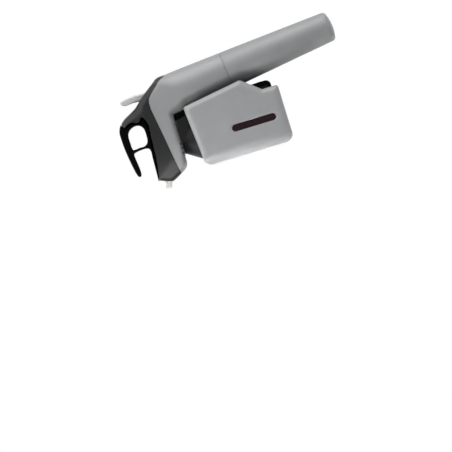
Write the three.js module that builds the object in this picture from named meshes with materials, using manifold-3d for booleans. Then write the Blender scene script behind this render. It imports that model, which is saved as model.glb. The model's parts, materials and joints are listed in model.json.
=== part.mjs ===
// Wine preservation dispenser: a clamp grips the bottle neck, a head with a hollow needle slides on a mast
// behind the neck, a thumb lever lets gas from the capsule into the bottle, and wine leaves at the spout.
// Millimetres. The origin is the centre of the bottle's lip, +Z runs up the bottle's axis, +X points to the
// capsule tube behind the neck and the spout points to -X. Left pieces lie at -Y, right pieces at +Y.

import * as THREE from 'three';
import { mergeVertices } from 'three/addons/utils/BufferGeometryUtils.js';
import Module from 'manifold-3d';

const wasm = await Module();
wasm.setup();

// Clearances and small helpers' sizes
const seatGap = 0.3;
const slideGap = 0.3;
const overrun = 4;
const weldGap = 0.0005;
const wireSides = 6;

// Tube: its axis leans away from the mast, heights along it are counted up from the seam
const tubeOffset = 52;
const seamDrop = 37.8;
const tubeLean = THREE.MathUtils.degToRad(6.35);
const sleeveBore = 15.2;
const sleeveWall = 2.3;
const seamRadius = sleeveBore + sleeveWall;
const sleeveFlare = 1.3;
const sleeveTopRadius = seamRadius + sleeveFlare;
const sleeveBoreTop = 46.3;
const sleeveTop = 92;
const seamGap = 0.4;

// Head: reach of the nose and height of the hook from the needle axis and the lip
const noseReach = 30.9;
const hookTop = 72.7;
const headFloor = 22.5;
const noseHalfWidth = 11;
const armShoulder = 1.2;
const armHalfWidth = sleeveTopRadius - armShoulder;
const armEdgeRound = 2.6;
const noseRound = 6;
const headWall = 2.3;
const hookHalfWidth = 10.4;
const visorFlare = 1;
const visorRootHalfWidth = armHalfWidth + visorFlare;
const visorTipHalfWidth = hookHalfWidth + visorFlare;
const hookNoseHalfWidth = 6;

// Capsule cup and gas capsule
const cupEndRadius = 14;
const cupEndRound = 4.2;
const cupEndSteps = 4;
const cupDome = 1.4;
const cupWall = 2;
const cupThreadBore = sleeveBore + seatGap;
const cupThreadDepth = 14;
const capsuleRadius = 11;
const capsuleLength = 89;
const capsuleWall = 1.5;
const capsuleNeckRadius = 4.4;
const capsuleNeckLength = 10;
const capsulePierceRadius = 1.5;
const capsuleTipDrop = 12.9;
const cushionThick = 2;
const cushionRadius = 9;
const cupLength = capsuleTipDrop + capsuleLength + cushionThick + cupWall + 2 * seatGap;

// Regulator in the sleeve
const threadGap = 0.5;
const collarRadius = cupThreadBore - threadGap;
const collarReach = 12;
const collarFlange = 7;
const inletRadius = 8.2;
const inletShoulderGap = 2.9;
const inletReach = capsuleTipDrop + capsuleNeckLength - inletShoulderGap;
const sealRadius = 5.9;
const sealThick = 2.9;
const sealBore = 1.7;
const piercingRadius = 1.1;
const piercingReach = 2;
const piercingLength = 13;
const regulatorTop = sleeveBoreTop - seatGap;
const regulatorChamberRadius = 11.5;
const regulatorChamberTop = 34;
const regulatorNeckRadius = 5;
const regulatorNeckRise = 8.7;
const regulatorNeckTop = sleeveBoreTop + regulatorNeckRise;
const pistonThick = 4;
const pistonLow = 16;
const regulatorSpringRadius = 8.5;
const regulatorWire = 0.8;
const regulatorSpringTurns = 4;
const stemRadius = 1.6;
const stemLength = 22.6;
const stemRise = 7.6;
const stemTop = regulatorNeckTop + stemRise;
const stemButtonRadius = 3.2;
const stemButtonThick = 1.8;
const valveWire = 0.35;
const valveSpringTurns = 4;

// Thumb lever
const leverPivotRise = 3.4;
const leverPivotHeight = stemTop + leverPivotRise;
const leverPivotArm = 6.8;
const leverHalfWidth = 6.2;
const leverSlotHalfWidth = 6.9;
const leverBossRadius = 3.3;
const leverPinRadius = 1.5;
const leverPinHalfLength = 11.5;
const leverNoseRadius = 2;
const leverNoseHalfWidth = 3;
const leverArmThick = 3;

// Needle, manifold, pipes and spout
const needleRadius = 1;
const needleBore = 0.6;
const needleTip = 55;
const needlePoint = 5;
const needlePortRadius = 0.35;
const needleSeat = 29.6;
const collarTop = 25;
const collarFlangeRadius = 6;
const collarNeckRadius = 4;
const manifoldRadius = 7;
const manifoldTop = 33;
const winePipeRadius = 1.7;
const gasPipeRadius = 1.2;
const gasPortSide = 9;
const gasPortBack = -5;
const pourTilt = THREE.MathUtils.degToRad(17);
const spoutRootRadius = 3.1;
const spoutTipRadius = 2.6;
const spoutBore = 1.5;
const spoutReach = 5.8;
const spoutDepth = 6.4;
const spoutFlangeRadius = 4;
const spoutFlangeThick = 1.8;

// Mast and its fastenings
const mastFront = 21.9;
const mastSideRoom = 9.6;
const mastHalfWidth = armHalfWidth - mastSideRoom;
const mastTop = 34.5;
const mastBottom = 73.8;
const mastFlange = 3.1;
const mastGroove = 3.2;
const mastGrooveDepth = 2;
const mastGrooveTop = 4;
const mastRearTop = 29.4;
const mastRearBottom = 33;
const mastPinRadius = 1.5;
const mastPinLow = 27;
const mastPinHigh = 32.2;
const mastBossWall = 2.2;
const stopPinRadius = 1.4;
const stopPinHeight = 68;
const stopPinDepth = 3.2;
const headTravel = 64;

// Clamp body
const blockTop = 20;
const blockTopRadius = 10;
const blockFootRadius = 20.3;
const blockFootHeight = 4.2;
const blockSkirt = 6;
const lipRadius = 15.7;
const spineFront = 16.2;
const spineSideWall = 4.5;
const spineHalfWidth = mastHalfWidth + spineSideWall;
const spineBottom = 70.3;
const guideBack = 27.9;
const guideBackTop = 6;
const lipHeight = 2;
const bushRadius = 3.6;
const bushFoot = 1;
const bushTop = 20.1;
const bushFlangeRadius = 5.5;
const bushFlangeThick = 1.2;

// Jaws: plate, core, pad and window, each half turns on its own pin
const jawPinX = 21;
const jawPinStandoff = 4.5;
const jawPinY = spineHalfWidth + jawPinStandoff;
const jawPinRadius = 1.5;
const jawPinTop = 4.3;
const jawPinBottom = 70;
const knuckleRadius = 3.6;
const lugTop = 4;
const lugHeight = 6;
const knuckleHeight = 10;
const plateStandoff = 11;
const plateOutside = jawPinY + plateStandoff;
const plateFront = 26.9;
const plateThick = 2.6;
const plateNoseRound = 9.5;
const plateGapHalf = 5;
const plateBottom = 79.4;
const plateTopFront = 4.9;
const plateTopBack = 9.8;
const plateBackTop = 31.5;
const plateBackLow = 40.3;
const plateBackLowDrop = 47;
const plateNotchX = 25.5;
const plateNotchDrop = 64.5;
const plateTopFrontRound = 8;
const plateTopBackRound = 2.5;
const plateBackLowRound = 4;
const plateNotchRound = 2;
const plateHeelRound = 2.5;
const plateToeRound = 7;
const coreBottom = 72;
const coreRadius = 19.6;
const coreFrontHalf = 6;
const coreFlangeInside = jawPinY + knuckleRadius - seatGap;
const coreFlangeBack = 33;
const coreSpineGap = 1.1;
const coreSpineEdge = 17;
const padRadius = 15.4;
const padBottom = 70;
const padBackAngle = THREE.MathUtils.degToRad(55);
const padFrontAngle = THREE.MathUtils.degToRad(161);
const windowX = -1.5;
const windowTop = 27.5;
const windowBottom = 69.5;
const windowHalfWidth = 3.2;
const windowLedge = 0.8;
const windowThick = 2;
const springWire = 0.4;
const springRadius = 2.7;
const springTurns = 6;
const springLegSide = 3.7;
const springLegFlange = 2.7;

// Screws
const coverScrewShank = 1.2;
const coverScrewHead = 2.4;
const coverScrewHeadThick = 0.9;
const coverScrewSink = 1.1;
const coverScrewTop = 34;
const screwBossRadius = 3;
const screwBossSplit = 27.8;
const screwBossTop = 45;
const hookScrewShank = 1;
const hookScrewHead = 1.9;
const hookScrewHeadThick = 1.3;

// Side outlines of the head, as shares: x of the tube's offset behind the needle and of the nose's reach in
// front of it, z of the hook's height above the lip
const shellArmShares = [
  [-0.832, 0.378], [-0.725, 0.315], [-0.634, 0.293], [-0.495, 0.286], [-0.395, 0.309], [1.0, 0.309],
  [1.0, 0.465], [0.91, 0.516], [0.846, 0.527], [0.723, 0.523], [0.529, 0.501], [0.271, 0.469],
  [-0.003, 0.442], [-0.463, 0.414], [-0.735, 0.393],
];
const shellTubeShares = [
  [0.4, -0.825], [1.5, -0.825], [1.5, 0.1], [1.213, 0.263], [1.177, 0.314], [1.108, 0.373],
  [0.99, 0.465], [0.91, 0.516], [0.846, 0.527], [0.723, 0.523], [0.529, 0.501], [0.4, 0.48],
];
const coverShares = [
  [1.3, 0.2], [1.24, 0.32], [1.235, 0.352], [1.144, 0.433], [1.069, 0.509], [1.004, 0.574], [0.915, 0.644],
  [0.819, 0.724], [0.76, 0.803], [0.7, 0.884], [0.631, 0.942], [0.594, 0.946], [0.538, 0.92],
  [0.462, 0.825], [0.462, 0.66], [-0.841, 0.699], [-1.0, 0.521], [-0.832, 0.378], [-0.4, 0.32], [1.0, 0.32],
];
const hookSeatShares = [[-0.421, 0.653], [-0.113, 0.64], [0.119, 0.631], [0.373, 0.619]];
const hookShares = [
  [0.594, 0.946], [0.552, 0.981], [0.477, 0.997], [0.383, 1.0], [0.225, 0.989], [0.054, 0.975],
  [-0.262, 0.955], [-0.492, 0.938], [-0.576, 0.924], [-0.589, 0.902], [-0.55, 0.884], [-0.476, 0.88],
  [-0.252, 0.886], [-0.065, 0.895], [0.067, 0.897], [0.079, 0.869], [0.092, 0.806], [0.094, 0.739],
  [0.077, 0.7], [0.023, 0.682], [-0.155, 0.688], [-0.453, 0.692], [-0.822, 0.699], [-0.686, 0.671],
  ...hookSeatShares, [0.467, 0.615], [0.573, 0.642],
  [0.65, 0.685], [0.55, 0.715], [0.575, 0.761], [0.592, 0.816], [0.575, 0.869], [0.538, 0.92],
];
const fingerShares = [
  [0.129, 0.891], [0.177, 0.902], [0.271, 0.902], [0.365, 0.904], [0.431, 0.893], [0.488, 0.86],
  [0.523, 0.805], [0.525, 0.754], [0.502, 0.71], [0.446, 0.68], [0.371, 0.669], [0.277, 0.67],
  [0.221, 0.675], [0.16, 0.699], [0.137, 0.737], [0.137, 0.796],
];
const hollowShares = [
  [-0.88, 0.528], [-0.757, 0.42], [-0.68, 0.362], [-0.615, 0.344], [0.596, 0.344], [0.644, 0.199],
  [1.123, 0.199], [1.142, 0.337], [1.038, 0.44], [0.923, 0.557], [0.798, 0.653], [0.712, 0.653],
  [0.587, 0.605], [0.467, 0.58], [0.248, 0.594], [-0.113, 0.605], [-0.421, 0.619], [-0.764, 0.644],
];
const leverShares = [
  [1.05, 0.392], [1.044, 0.567], [1.048, 0.697], [1.033, 0.794], [1.013, 0.864], [0.985, 0.883],
  [0.94, 0.867], [0.919, 0.818], [0.931, 0.736], [0.925, 0.651], [0.923, 0.55], [0.931, 0.392],
];
const leverSlotShares = [
  [1.06, 0.35], [1.06, 0.517], [1.154, 0.564], [1.154, 0.825], [0.894, 0.825], [0.813, 0.727],
  [0.827, 0.633], [0.827, 0.35],
];
const leverRibShares = [[0.92, 0.33], [1.067, 0.3], [1.087, 0.378], [1.0, 0.443], [0.919, 0.446]];
const visorShares = [
  [1, 0.2], [1, 0.55], [0.86, 0.63], [0.5, 0.73], [0.17, 0.84], [0, 1],
];
const spoutShare = [-0.958, 0.576];

// Screws, as shares: x like the outlines above, y of the arm's half width
const coverScrewShares = {
  front_left: [-0.275, -0.426], front_right: [-0.275, 0.426], rear: [0.25, -0.557],
};
const hookScrewShares = { front: -0.13, rear: 0.308 };

// Top of the spine, as shares of its reach and of the block's height
const guideShares = [[0, 1], [0.745, 1], [0.83, 0.545]];

// Ends of the capsule, as shares of its radius
const shoulderShares = [[0.58, 0.29], [0.87, 0.64], [1, 1.2]];
const footShares = [[0, 0], [0.64, 0.1], [0.91, 0.31], [1, 0.64]];

const lightGrey = { color: 0x9c9ea0, roughness: 0.42, metalness: 0.35 };
const darkGrey = { color: 0x3c3c3f, roughness: 0.4, metalness: 0.1 };
const black = { color: 0x0c0c0d, roughness: 0.35, metalness: 0 };
const blockBlack = { color: 0x242426, roughness: 0.5, metalness: 0 };
const silver = { color: 0xc8c9ca, roughness: 0.3, metalness: 0.6 };
const steel = { color: 0xb9bbbd, roughness: 0.25, metalness: 1 };
const brass = { color: 0xb08d4a, roughness: 0.3, metalness: 1 };
const rubber = { color: 0x151516, roughness: 0.85, metalness: 0 };
const clear = { color: 0xe6e6e2, roughness: 0.2, metalness: 0 };
const smoked = { color: 0x2a1216, roughness: 0.12, metalness: 0 };

// Turns a closed geometry into a solid for joining and cutting
function solid(geometry) {
  const bare = new THREE.BufferGeometry();
  bare.setAttribute('position', geometry.getAttribute('position'));
  bare.setIndex(geometry.index);
  const merged = mergeVertices(bare, weldGap);
  const corners = merged.index.array;
  const triVerts = [];
  for (let i = 0; i < corners.length; i += 3) {
    const [a, b, c] = corners.slice(i, i + 3);
    if (a !== b && b !== c && c !== a) {
      triVerts.push(a, b, c);
    }
  }
  return new wasm.Manifold(new wasm.Mesh({
    numProp: 3,
    vertProperties: Float32Array.from(merged.getAttribute('position').array),
    triVerts: Uint32Array.from(triVerts),
  }));
}

function cut(shape, ...tools) {
  return tools.reduce((rest, tool) => rest.subtract(tool), shape);
}

function join(shape, ...others) {
  return others.reduce((whole, other) => whole.add(other), shape);
}

function common(shape, ...others) {
  return others.reduce((rest, other) => rest.intersect(other), shape);
}

// The same solid on the other side of the plane y = 0
function mirrored(shape) {
  const { vertProperties, triVerts } = shape.getMesh();
  const flipped = vertProperties.map((value, i) => (i % 3 === 1 ? -value : value));
  const turned = new Uint32Array(triVerts.length);
  for (let i = 0; i < triVerts.length; i += 3) {
    turned.set([triVerts[i], triVerts[i + 2], triVerts[i + 1]], i);
  }
  return new wasm.Manifold(new wasm.Mesh({ numProp: 3, vertProperties: flipped, triVerts: turned }));
}

function surface(shape) {
  const { vertProperties, triVerts } = shape.getMesh();
  const geometry = new THREE.BufferGeometry();
  geometry.setAttribute('position', new THREE.BufferAttribute(vertProperties, 3));
  geometry.setIndex(new THREE.BufferAttribute(triVerts, 1));
  geometry.computeVertexNormals();
  return geometry;
}

function piece(name, shape, finish) {
  const mesh = new THREE.Mesh(surface(shape), new THREE.MeshStandardMaterial(finish));
  mesh.name = name;
  return mesh;
}

function vectors(pairs) {
  return pairs.map(([x, y]) => new THREE.Vector2(x, y));
}

// Points of a side outline of the head from its shares
function atShare([x, z]) {
  return new THREE.Vector2(x < 0 ? x * noseReach : x * tubeOffset, z * hookTop);
}

function screwPlace([x, y]) {
  return [atShare([x, 0]).x, y * armHalfWidth];
}

// The outline moved outwards by a gap, for the cut that a neighbour leaves
function grown(outline, gap) {
  const points = outline.filter((point, i) => (
    point.distanceTo(outline[(i + outline.length - 1) % outline.length]) > weldGap
  ));
  const outward = THREE.ShapeUtils.isClockWise(points) ? -gap : gap;
  return points.map((point, i) => {
    const before = points[(i + points.length - 1) % points.length];
    const after = points[(i + 1) % points.length];
    const into = point.clone().sub(before).normalize();
    const out = after.clone().sub(point).normalize();
    const normal = new THREE.Vector2(into.y + out.y, -into.x - out.x).normalize();
    const stretch = Math.max(normal.dot(new THREE.Vector2(into.y, -into.x)), Math.SQRT1_2);
    return point.clone().addScaledVector(normal, outward / stretch);
  });
}

// A polygon whose corners are rounded with their own radii, or stay sharp where the radius is zero
function rounded(points, radii) {
  const shape = new THREE.Shape();
  points.forEach((corner, i) => {
    if (radii[i] === 0) {
      shape.lineTo(corner.x, corner.y);
      return;
    }
    const before = points[(i + points.length - 1) % points.length];
    const after = points[(i + 1) % points.length];
    const enter = before.clone().sub(corner).setLength(radii[i]).add(corner);
    const leave = after.clone().sub(corner).setLength(radii[i]).add(corner);
    if (i === 0) {
      shape.moveTo(enter.x, enter.y);
    } else {
      shape.lineTo(enter.x, enter.y);
    }
    shape.quadraticCurveTo(corner.x, corner.y, leave.x, leave.y);
  });
  return shape;
}

function asShape(outline) {
  return outline instanceof THREE.Shape ? outline : new THREE.Shape(outline);
}

// An outline in x and z, extruded across the head
function sidePlate(outline, halfWidth, middle = 0, curveSegments = 6) {
  const geometry = new THREE.ExtrudeGeometry(asShape(outline), {
    depth: 2 * halfWidth, bevelEnabled: false, curveSegments,
  });
  geometry.rotateX(Math.PI / 2);
  geometry.translate(0, middle + halfWidth, 0);
  return solid(geometry);
}

// An outline in x and y, extruded upwards
function slab(outline, low, high, curveSegments = 6) {
  const geometry = new THREE.ExtrudeGeometry(asShape(outline), {
    depth: high - low, bevelEnabled: false, curveSegments,
  });
  geometry.translate(0, 0, low);
  return solid(geometry);
}

// An outline in y and z, extruded along x
function frontPlate(points, back, front) {
  const geometry = new THREE.ExtrudeGeometry(asShape(points), { depth: front - back, bevelEnabled: false });
  geometry.rotateX(Math.PI / 2);
  geometry.rotateZ(Math.PI / 2);
  geometry.translate(back, 0, 0);
  return solid(geometry);
}

function box(x0, x1, y0, y1, z0, z1) {
  return slab(vectors([[x0, y0], [x1, y0], [x1, y1], [x0, y1]]), z0, z1);
}

// A closed outline of radius and height, listed with its outside rising, turned about the z axis
function lathe(profile, segments = 32) {
  const points = vectors(profile);
  const onAxis = profile[0][0] === 0 && profile[profile.length - 1][0] === 0;
  if (!onAxis) {
    points.push(points[0].clone());
  }
  const geometry = new THREE.LatheGeometry(points, segments);
  geometry.rotateX(Math.PI / 2);
  return geometry;
}

function turned(profile, segments) {
  return solid(lathe(profile, segments));
}

function rodProfile(radius, low, high) {
  return [[0, low], [radius, low], [radius, high], [0, high]];
}

function rod(radius, low, high, x = 0, y = 0, segments = 14) {
  return solid(lathe(rodProfile(radius, low, high), segments).translate(x, y, 0));
}

function crossRod(radius, place, halfLength, segments = 14) {
  const geometry = lathe(rodProfile(radius, -halfLength, halfLength), segments);
  geometry.rotateX(Math.PI / 2);
  geometry.translate(place.x, 0, place.y);
  return solid(geometry);
}

// Places in the tube's own frame: t up its axis from the seam, e towards the back, as x and z of the part
function onTube(t, e = 0) {
  return new THREE.Vector2(
    tubeOffset - t * Math.sin(tubeLean) + e * Math.cos(tubeLean),
    -seamDrop + t * Math.cos(tubeLean) + e * Math.sin(tubeLean),
  );
}

function inTube(geometry) {
  return solid(geometry.rotateY(-tubeLean).translate(tubeOffset, 0, -seamDrop));
}

// A round pipe along points, its two ends cut square
function pipe(points, radius, steps, sides = 10) {
  const section = new THREE.Shape().absarc(0, 0, radius, 0, 2 * Math.PI);
  const path = new THREE.CatmullRomCurve3(points, false, 'centripetal');
  return solid(new THREE.ExtrudeGeometry(section, { steps, extrudePath: path, curveSegments: sides / 2 }));
}

// Wire wound about the z axis, with a straight leg at each end where a leg length is given
class Winding extends THREE.Curve {
  constructor(radius, low, high, turns, lowLeg = 0, highLeg = 0) {
    super();
    Object.assign(this, { radius, low, high, turns, lowLeg, highLeg });
    this.wound = 2 * Math.PI * radius * turns;
  }

  getPoint(t, target = new THREE.Vector3()) {
    const along = t * (this.lowLeg + this.wound + this.highLeg) - this.lowLeg;
    const share = THREE.MathUtils.clamp(along / this.wound, 0, 1);
    const angle = 2 * Math.PI * this.turns * share;
    const height = this.low + (this.high - this.low) * share;
    target.set(this.radius * Math.cos(angle), this.radius * Math.sin(angle), height);
    if (along < 0) {
      target.y += along;
    } else if (along > this.wound) {
      target.y += along - this.wound;
    }
    return target;
  }
}

function coil(winding, wire) {
  const section = new THREE.Shape().absarc(0, 0, wire, 0, 2 * Math.PI);
  const reach = winding.lowLeg + winding.wound + winding.highLeg;
  const steps = Math.round(8 * winding.turns * reach / winding.wound);
  return new THREE.ExtrudeGeometry(section, { steps, extrudePath: winding, curveSegments: wireSides / 2 });
}

// Mast, with side grooves for the guide, and the room that it takes in its neighbours
const mastPinX = (mastFront + mastRearTop) / 2;
const mastPinHeights = [mastPinLow, mastPinHigh];
const mastOutline = vectors([
  [mastFront, mastTop], [mastRearTop, mastTop], [mastRearBottom, -mastBottom + 2 * mastFlange],
  [mastRearBottom - mastFlange, -mastBottom + seatGap + stopPinRadius],
  [mastFront + mastFlange, -mastBottom], [mastFront, -mastBottom],
]);

function mastShape() {
  const grooves = [-1, 1].map((side) => {
    const inside = side * (mastHalfWidth - mastGrooveDepth);
    const outside = side * (mastHalfWidth + overrun);
    return box(
      mastFront + mastFlange, mastFront + mastFlange + mastGroove,
      Math.min(inside, outside), Math.max(inside, outside), -mastBottom - overrun, mastGrooveTop,
    );
  });
  const pinHoles = mastPinHeights.map((height) => crossRod(
    mastPinRadius + seatGap, new THREE.Vector2(mastPinX, height), mastHalfWidth + overrun,
  ));
  const stopHole = solid(lathe(rodProfile(stopPinRadius + seatGap, -overrun, mastFlange + seatGap), 12)
    .rotateY(Math.PI / 2).translate(mastFront, 0, -stopPinHeight));
  return cut(sidePlate(mastOutline, mastHalfWidth), ...grooves, ...pinHoles, stopHole);
}

const mastRoom = sidePlate(grown(mastOutline, seatGap), mastHalfWidth + seatGap);

// Outer form of the head, which the shell and the cover share
const planCorners = vectors([
  [-noseReach, -noseHalfWidth], [mastRearBottom, -armHalfWidth], [tubeOffset, -armHalfWidth],
  [tubeOffset, armHalfWidth], [mastRearBottom, armHalfWidth], [-noseReach, noseHalfWidth],
]);
const planOutline = rounded(planCorners, [noseRound, 0, 0, 0, 0, noseRound]);

function armForm() {
  const geometry = new THREE.ExtrudeGeometry(planOutline, {
    depth: hookTop - headFloor, bevelThickness: armEdgeRound, bevelSize: armEdgeRound,
    bevelOffset: -armEdgeRound, bevelSegments: 3, curveSegments: 4,
  });
  geometry.translate(0, 0, headFloor + armEdgeRound);
  return solid(geometry);
}

function sleeveRadiusAt(t) {
  return seamRadius + (sleeveTopRadius - seamRadius) * Math.min(t / sleeveBoreTop, 1);
}

const sleeveForm = inTube(lathe([
  [0, 0], [seamRadius, 0], [sleeveRadiusAt(sleeveBoreTop), sleeveBoreTop],
  [sleeveRadiusAt(sleeveTop), sleeveTop], [0, sleeveTop],
], 40));
const visorSide = visorShares.map(([y, z]) => new THREE.Vector2(
  visorTipHalfWidth + (visorRootHalfWidth - visorTipHalfWidth) * y, z * hookTop,
));
const visorForm = frontPlate(
  [...visorSide, ...visorSide.map((point) => new THREE.Vector2(-point.x, point.y)).reverse()],
  -noseReach - overrun, tubeOffset + sleeveTopRadius + overrun,
);

const shellArmOutline = shellArmShares.map(atShare);
const shellTubeOutline = shellTubeShares.map(atShare);
const hookOutline = hookShares.map(atShare);
const hollowOutline = hollowShares.map(atShare);
const leverPivot = onTube(leverPivotHeight, leverPivotArm);
const spoutPlace = atShare(spoutShare);
const coverScrewPlaces = Object.values(coverScrewShares).map(screwPlace);

// The hollow that the shell and the cover close together
function headHollow() {
  const arm = slab(grown(planCorners, -headWall), headFloor, hookTop);
  const tube = inTube(lathe([
    [0, sleeveBoreTop], [sleeveBore, sleeveBoreTop], [sleeveBore, sleeveTop], [0, sleeveTop],
  ], 32));
  return common(join(arm, tube), sidePlate(hollowOutline, armHalfWidth));
}

const hollow = headHollow();

function coverScrewHoles() {
  return coverScrewPlaces.flatMap(([x, y]) => [
    rod(coverScrewShank + seatGap, headFloor - overrun, screwBossSplit + overrun, x, y, 10),
    rod(coverScrewHead + seatGap, headFloor - overrun, headFloor + coverScrewSink, x, y, 12),
  ]);
}

function spoutHole() {
  return solid(lathe(rodProfile(spoutRootRadius + seatGap, -spoutDepth, spoutReach + overrun), 16)
    .rotateY(pourTilt - Math.PI / 2).translate(spoutPlace.x, 0, spoutPlace.y));
}

function headShell() {
  const arm = common(armForm(), sidePlate(shellArmOutline, armHalfWidth + overrun));
  const tube = common(sleeveForm, sidePlate(shellTubeOutline, sleeveTopRadius + overrun));
  const mastBoss = common(
    box(
      mastFront - slideGap - mastBossWall, mastRearTop + slideGap + mastBossWall,
      -mastHalfWidth - slideGap - mastBossWall, mastHalfWidth + slideGap + mastBossWall,
      headFloor, mastTop + mastBossWall,
    ),
    armForm(),
  );
  const bosses = coverScrewPlaces.map(([x, y]) => rod(
    screwBossRadius, headFloor + coverScrewSink, screwBossSplit, x, y, 12,
  ));
  const rib = common(
    sidePlate(leverRibShares.map(atShare), armHalfWidth),
    join(armForm(), sleeveForm),
  );
  const ribs = cut(rib, sidePlate(grown(leverRibShares.map(atShare), overrun), leverSlotHalfWidth));
  const bore = inTube(lathe([
    [0, -overrun], [sleeveBore, -overrun], [sleeveBore, sleeveBoreTop], [0, sleeveBoreTop],
  ], 32));
  const holeStart = sleeveBoreTop - overrun;
  const neckHole = inTube(lathe(rodProfile(regulatorNeckRadius + seatGap, holeStart, sleeveTop), 16));
  const gasHole = inTube(lathe(rodProfile(gasPipeRadius + 2 * seatGap, holeStart, regulatorNeckTop), 10)
    .translate(gasPortBack, gasPortSide, 0));
  const pinHoles = mastPinHeights.map((height) => crossRod(
    mastPinRadius + seatGap, new THREE.Vector2(mastPinX, height), mastHalfWidth + mastBossWall + overrun,
  ));
  const open = cut(join(arm, tube), hollow);
  const filled = join(open, mastBoss, ...bosses, ribs);
  return cut(
    filled, mastRoom, bore, neckHole, gasHole, ...pinHoles, ...coverScrewHoles(),
    rod(collarNeckRadius + seatGap, headFloor - overrun, headFloor + overrun, 0, 0, 16),
    crossRod(leverPinRadius + seatGap, leverPivot, leverPinHalfLength + seatGap),
  );
}

function hookScrewHoles(radius) {
  return Object.values(hookScrewShares).map((share) => {
    const x = screwPlace([share, 0])[0];
    const seat = hookSeatAt(x);
    return rod(radius, seat - headWall - overrun, seat + headWall, x, 0, 10);
  });
}

// Height of the cover's top, where the hook sits, at a place along the arm
function hookSeatAt(x) {
  const seats = hookSeatShares.map(atShare);
  const next = Math.max(seats.findIndex((seat) => seat.x > x), 1);
  const share = (x - seats[next - 1].x) / (seats[next].x - seats[next - 1].x);
  return THREE.MathUtils.lerp(seats[next - 1].y, seats[next].y, share);
}

function topCover() {
  const above = sidePlate(coverShares.map(atShare), sleeveTopRadius);
  const form = common(join(armForm(), sleeveForm), visorForm, above);
  const skin = cut(form, hollow);
  const bosses = coverScrewPlaces.map(([x, y]) => rod(
    screwBossRadius, screwBossSplit + seatGap, screwBossTop, x, y, 12,
  ));
  const holes = coverScrewPlaces.map(([x, y]) => rod(
    coverScrewShank + seatGap, screwBossSplit - overrun, coverScrewTop + seatGap, x, y, 10,
  ));
  const shellRoom = [shellArmOutline, shellTubeOutline].map((outline) => sidePlate(
    grown(outline, seatGap), sleeveTopRadius + overrun,
  ));
  const bossed = join(cut(skin, ...shellRoom), ...bosses);
  return cut(
    bossed, sidePlate(grown(hookOutline, seatGap), armHalfWidth + overrun), ...holes,
    sidePlate(leverSlotShares.map(atShare), leverSlotHalfWidth), spoutHole(),
    ...hookScrewHoles(hookScrewShank + seatGap),
  );
}

function hookShape() {
  const shape = new THREE.Shape(hookOutline);
  const fingers = fingerShares.map(atShare);
  const rim = new THREE.Path();
  rim.moveTo(fingers[0].x, fingers[0].y);
  rim.splineThru([...fingers.slice(1), fingers[0]]);
  shape.holes.push(rim);
  const plan = vectors([
    [-noseReach, -hookNoseHalfWidth], [0, -hookHalfWidth], [tubeOffset, -hookHalfWidth],
    [tubeOffset, hookHalfWidth], [0, hookHalfWidth], [-noseReach, hookNoseHalfWidth],
  ]);
  return cut(
    common(sidePlate(shape, hookHalfWidth + overrun, 0, 2), slab(plan, 0, hookTop + overrun)),
    ...hookScrewHoles(hookScrewShank + seatGap),
  );
}

function leverShape() {
  const blade = sidePlate(leverShares.map(atShare), leverHalfWidth);
  const nose = onTube(stemTop + seatGap + leverNoseRadius);
  const side = leverPivot.clone().sub(nose).setLength(leverArmThick / 2);
  const across = new THREE.Vector2(-side.y, side.x);
  const arm = sidePlate([
    leverPivot.clone().add(across), leverPivot.clone().sub(across),
    nose.clone().sub(across), nose.clone().add(across),
  ], leverNoseHalfWidth);
  return cut(
    join(
      blade, crossRod(leverBossRadius, leverPivot, leverHalfWidth, 16), arm,
      crossRod(leverNoseRadius, nose, leverNoseHalfWidth),
    ),
    crossRod(leverPinRadius + seatGap, leverPivot, leverHalfWidth + overrun),
  );
}

function needleShape() {
  const body = turned([
    [0, -needleTip], [needleRadius, -needleTip + needlePoint], [needleRadius, needleSeat],
    [needleBore, needleSeat], [needleBore, -needleTip + 2 * needlePoint], [0, -needleTip + 2 * needlePoint],
  ], 12);
  const port = crossRod(
    needlePortRadius, new THREE.Vector2(0, -needleTip + 3 * needlePoint), needleRadius + overrun, 8,
  );
  return cut(body, port);
}

function needleCollar() {
  const flangeLow = bushTop + seatGap;
  const flangeTop = headFloor - seatGap;
  return turned([
    [needleRadius + seatGap, flangeLow], [collarFlangeRadius, flangeLow], [collarFlangeRadius, flangeTop],
    [collarNeckRadius, flangeTop], [collarNeckRadius, collarTop], [needleRadius + seatGap, collarTop],
  ], 20);
}

const gasEnd = new THREE.Vector3(1, 1, 0).setLength(manifoldRadius + seatGap);
const gasPipeHeight = (needleSeat + manifoldTop) / 2;

function flowManifold() {
  const body = turned([
    [needleRadius + seatGap, collarTop + seatGap], [manifoldRadius, collarTop + seatGap],
    [manifoldRadius, manifoldTop], [needleRadius, manifoldTop], [needleRadius, needleSeat + seatGap],
    [needleRadius + seatGap, needleSeat + seatGap],
  ], 20);
  const port = solid(lathe(rodProfile(needleRadius, 0, manifoldRadius + overrun), 10)
    .rotateY(Math.PI / 2).rotateZ(Math.PI / 4).translate(0, 0, gasPipeHeight));
  return cut(body, port);
}

function gasPipe() {
  const start = onTube(regulatorTop + seatGap, gasPortBack);
  const bend = onTube(regulatorNeckTop, gasPortBack);
  const straight = start.clone().lerp(bend, 1 / 2);
  const beside = mastHalfWidth + slideGap + mastBossWall + gasPipeRadius + 2 * seatGap;
  const out = gasEnd.clone().setLength(manifoldRadius + overrun);
  return pipe([
    new THREE.Vector3(start.x, gasPortSide, start.y),
    new THREE.Vector3(straight.x, gasPortSide, straight.y),
    new THREE.Vector3(bend.x, gasPortSide, bend.y),
    new THREE.Vector3(
      mastRearTop + slideGap + mastBossWall, beside, (headFloor + mastTop) / 2 - gasPipeRadius,
    ),
    new THREE.Vector3(mastFront - mastBossWall, beside, gasPipeHeight - gasPipeRadius),
    new THREE.Vector3(out.x, out.y, gasPipeHeight),
    new THREE.Vector3(gasEnd.x, gasEnd.y, gasPipeHeight),
  ], gasPipeRadius, 26, 8);
}

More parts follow.
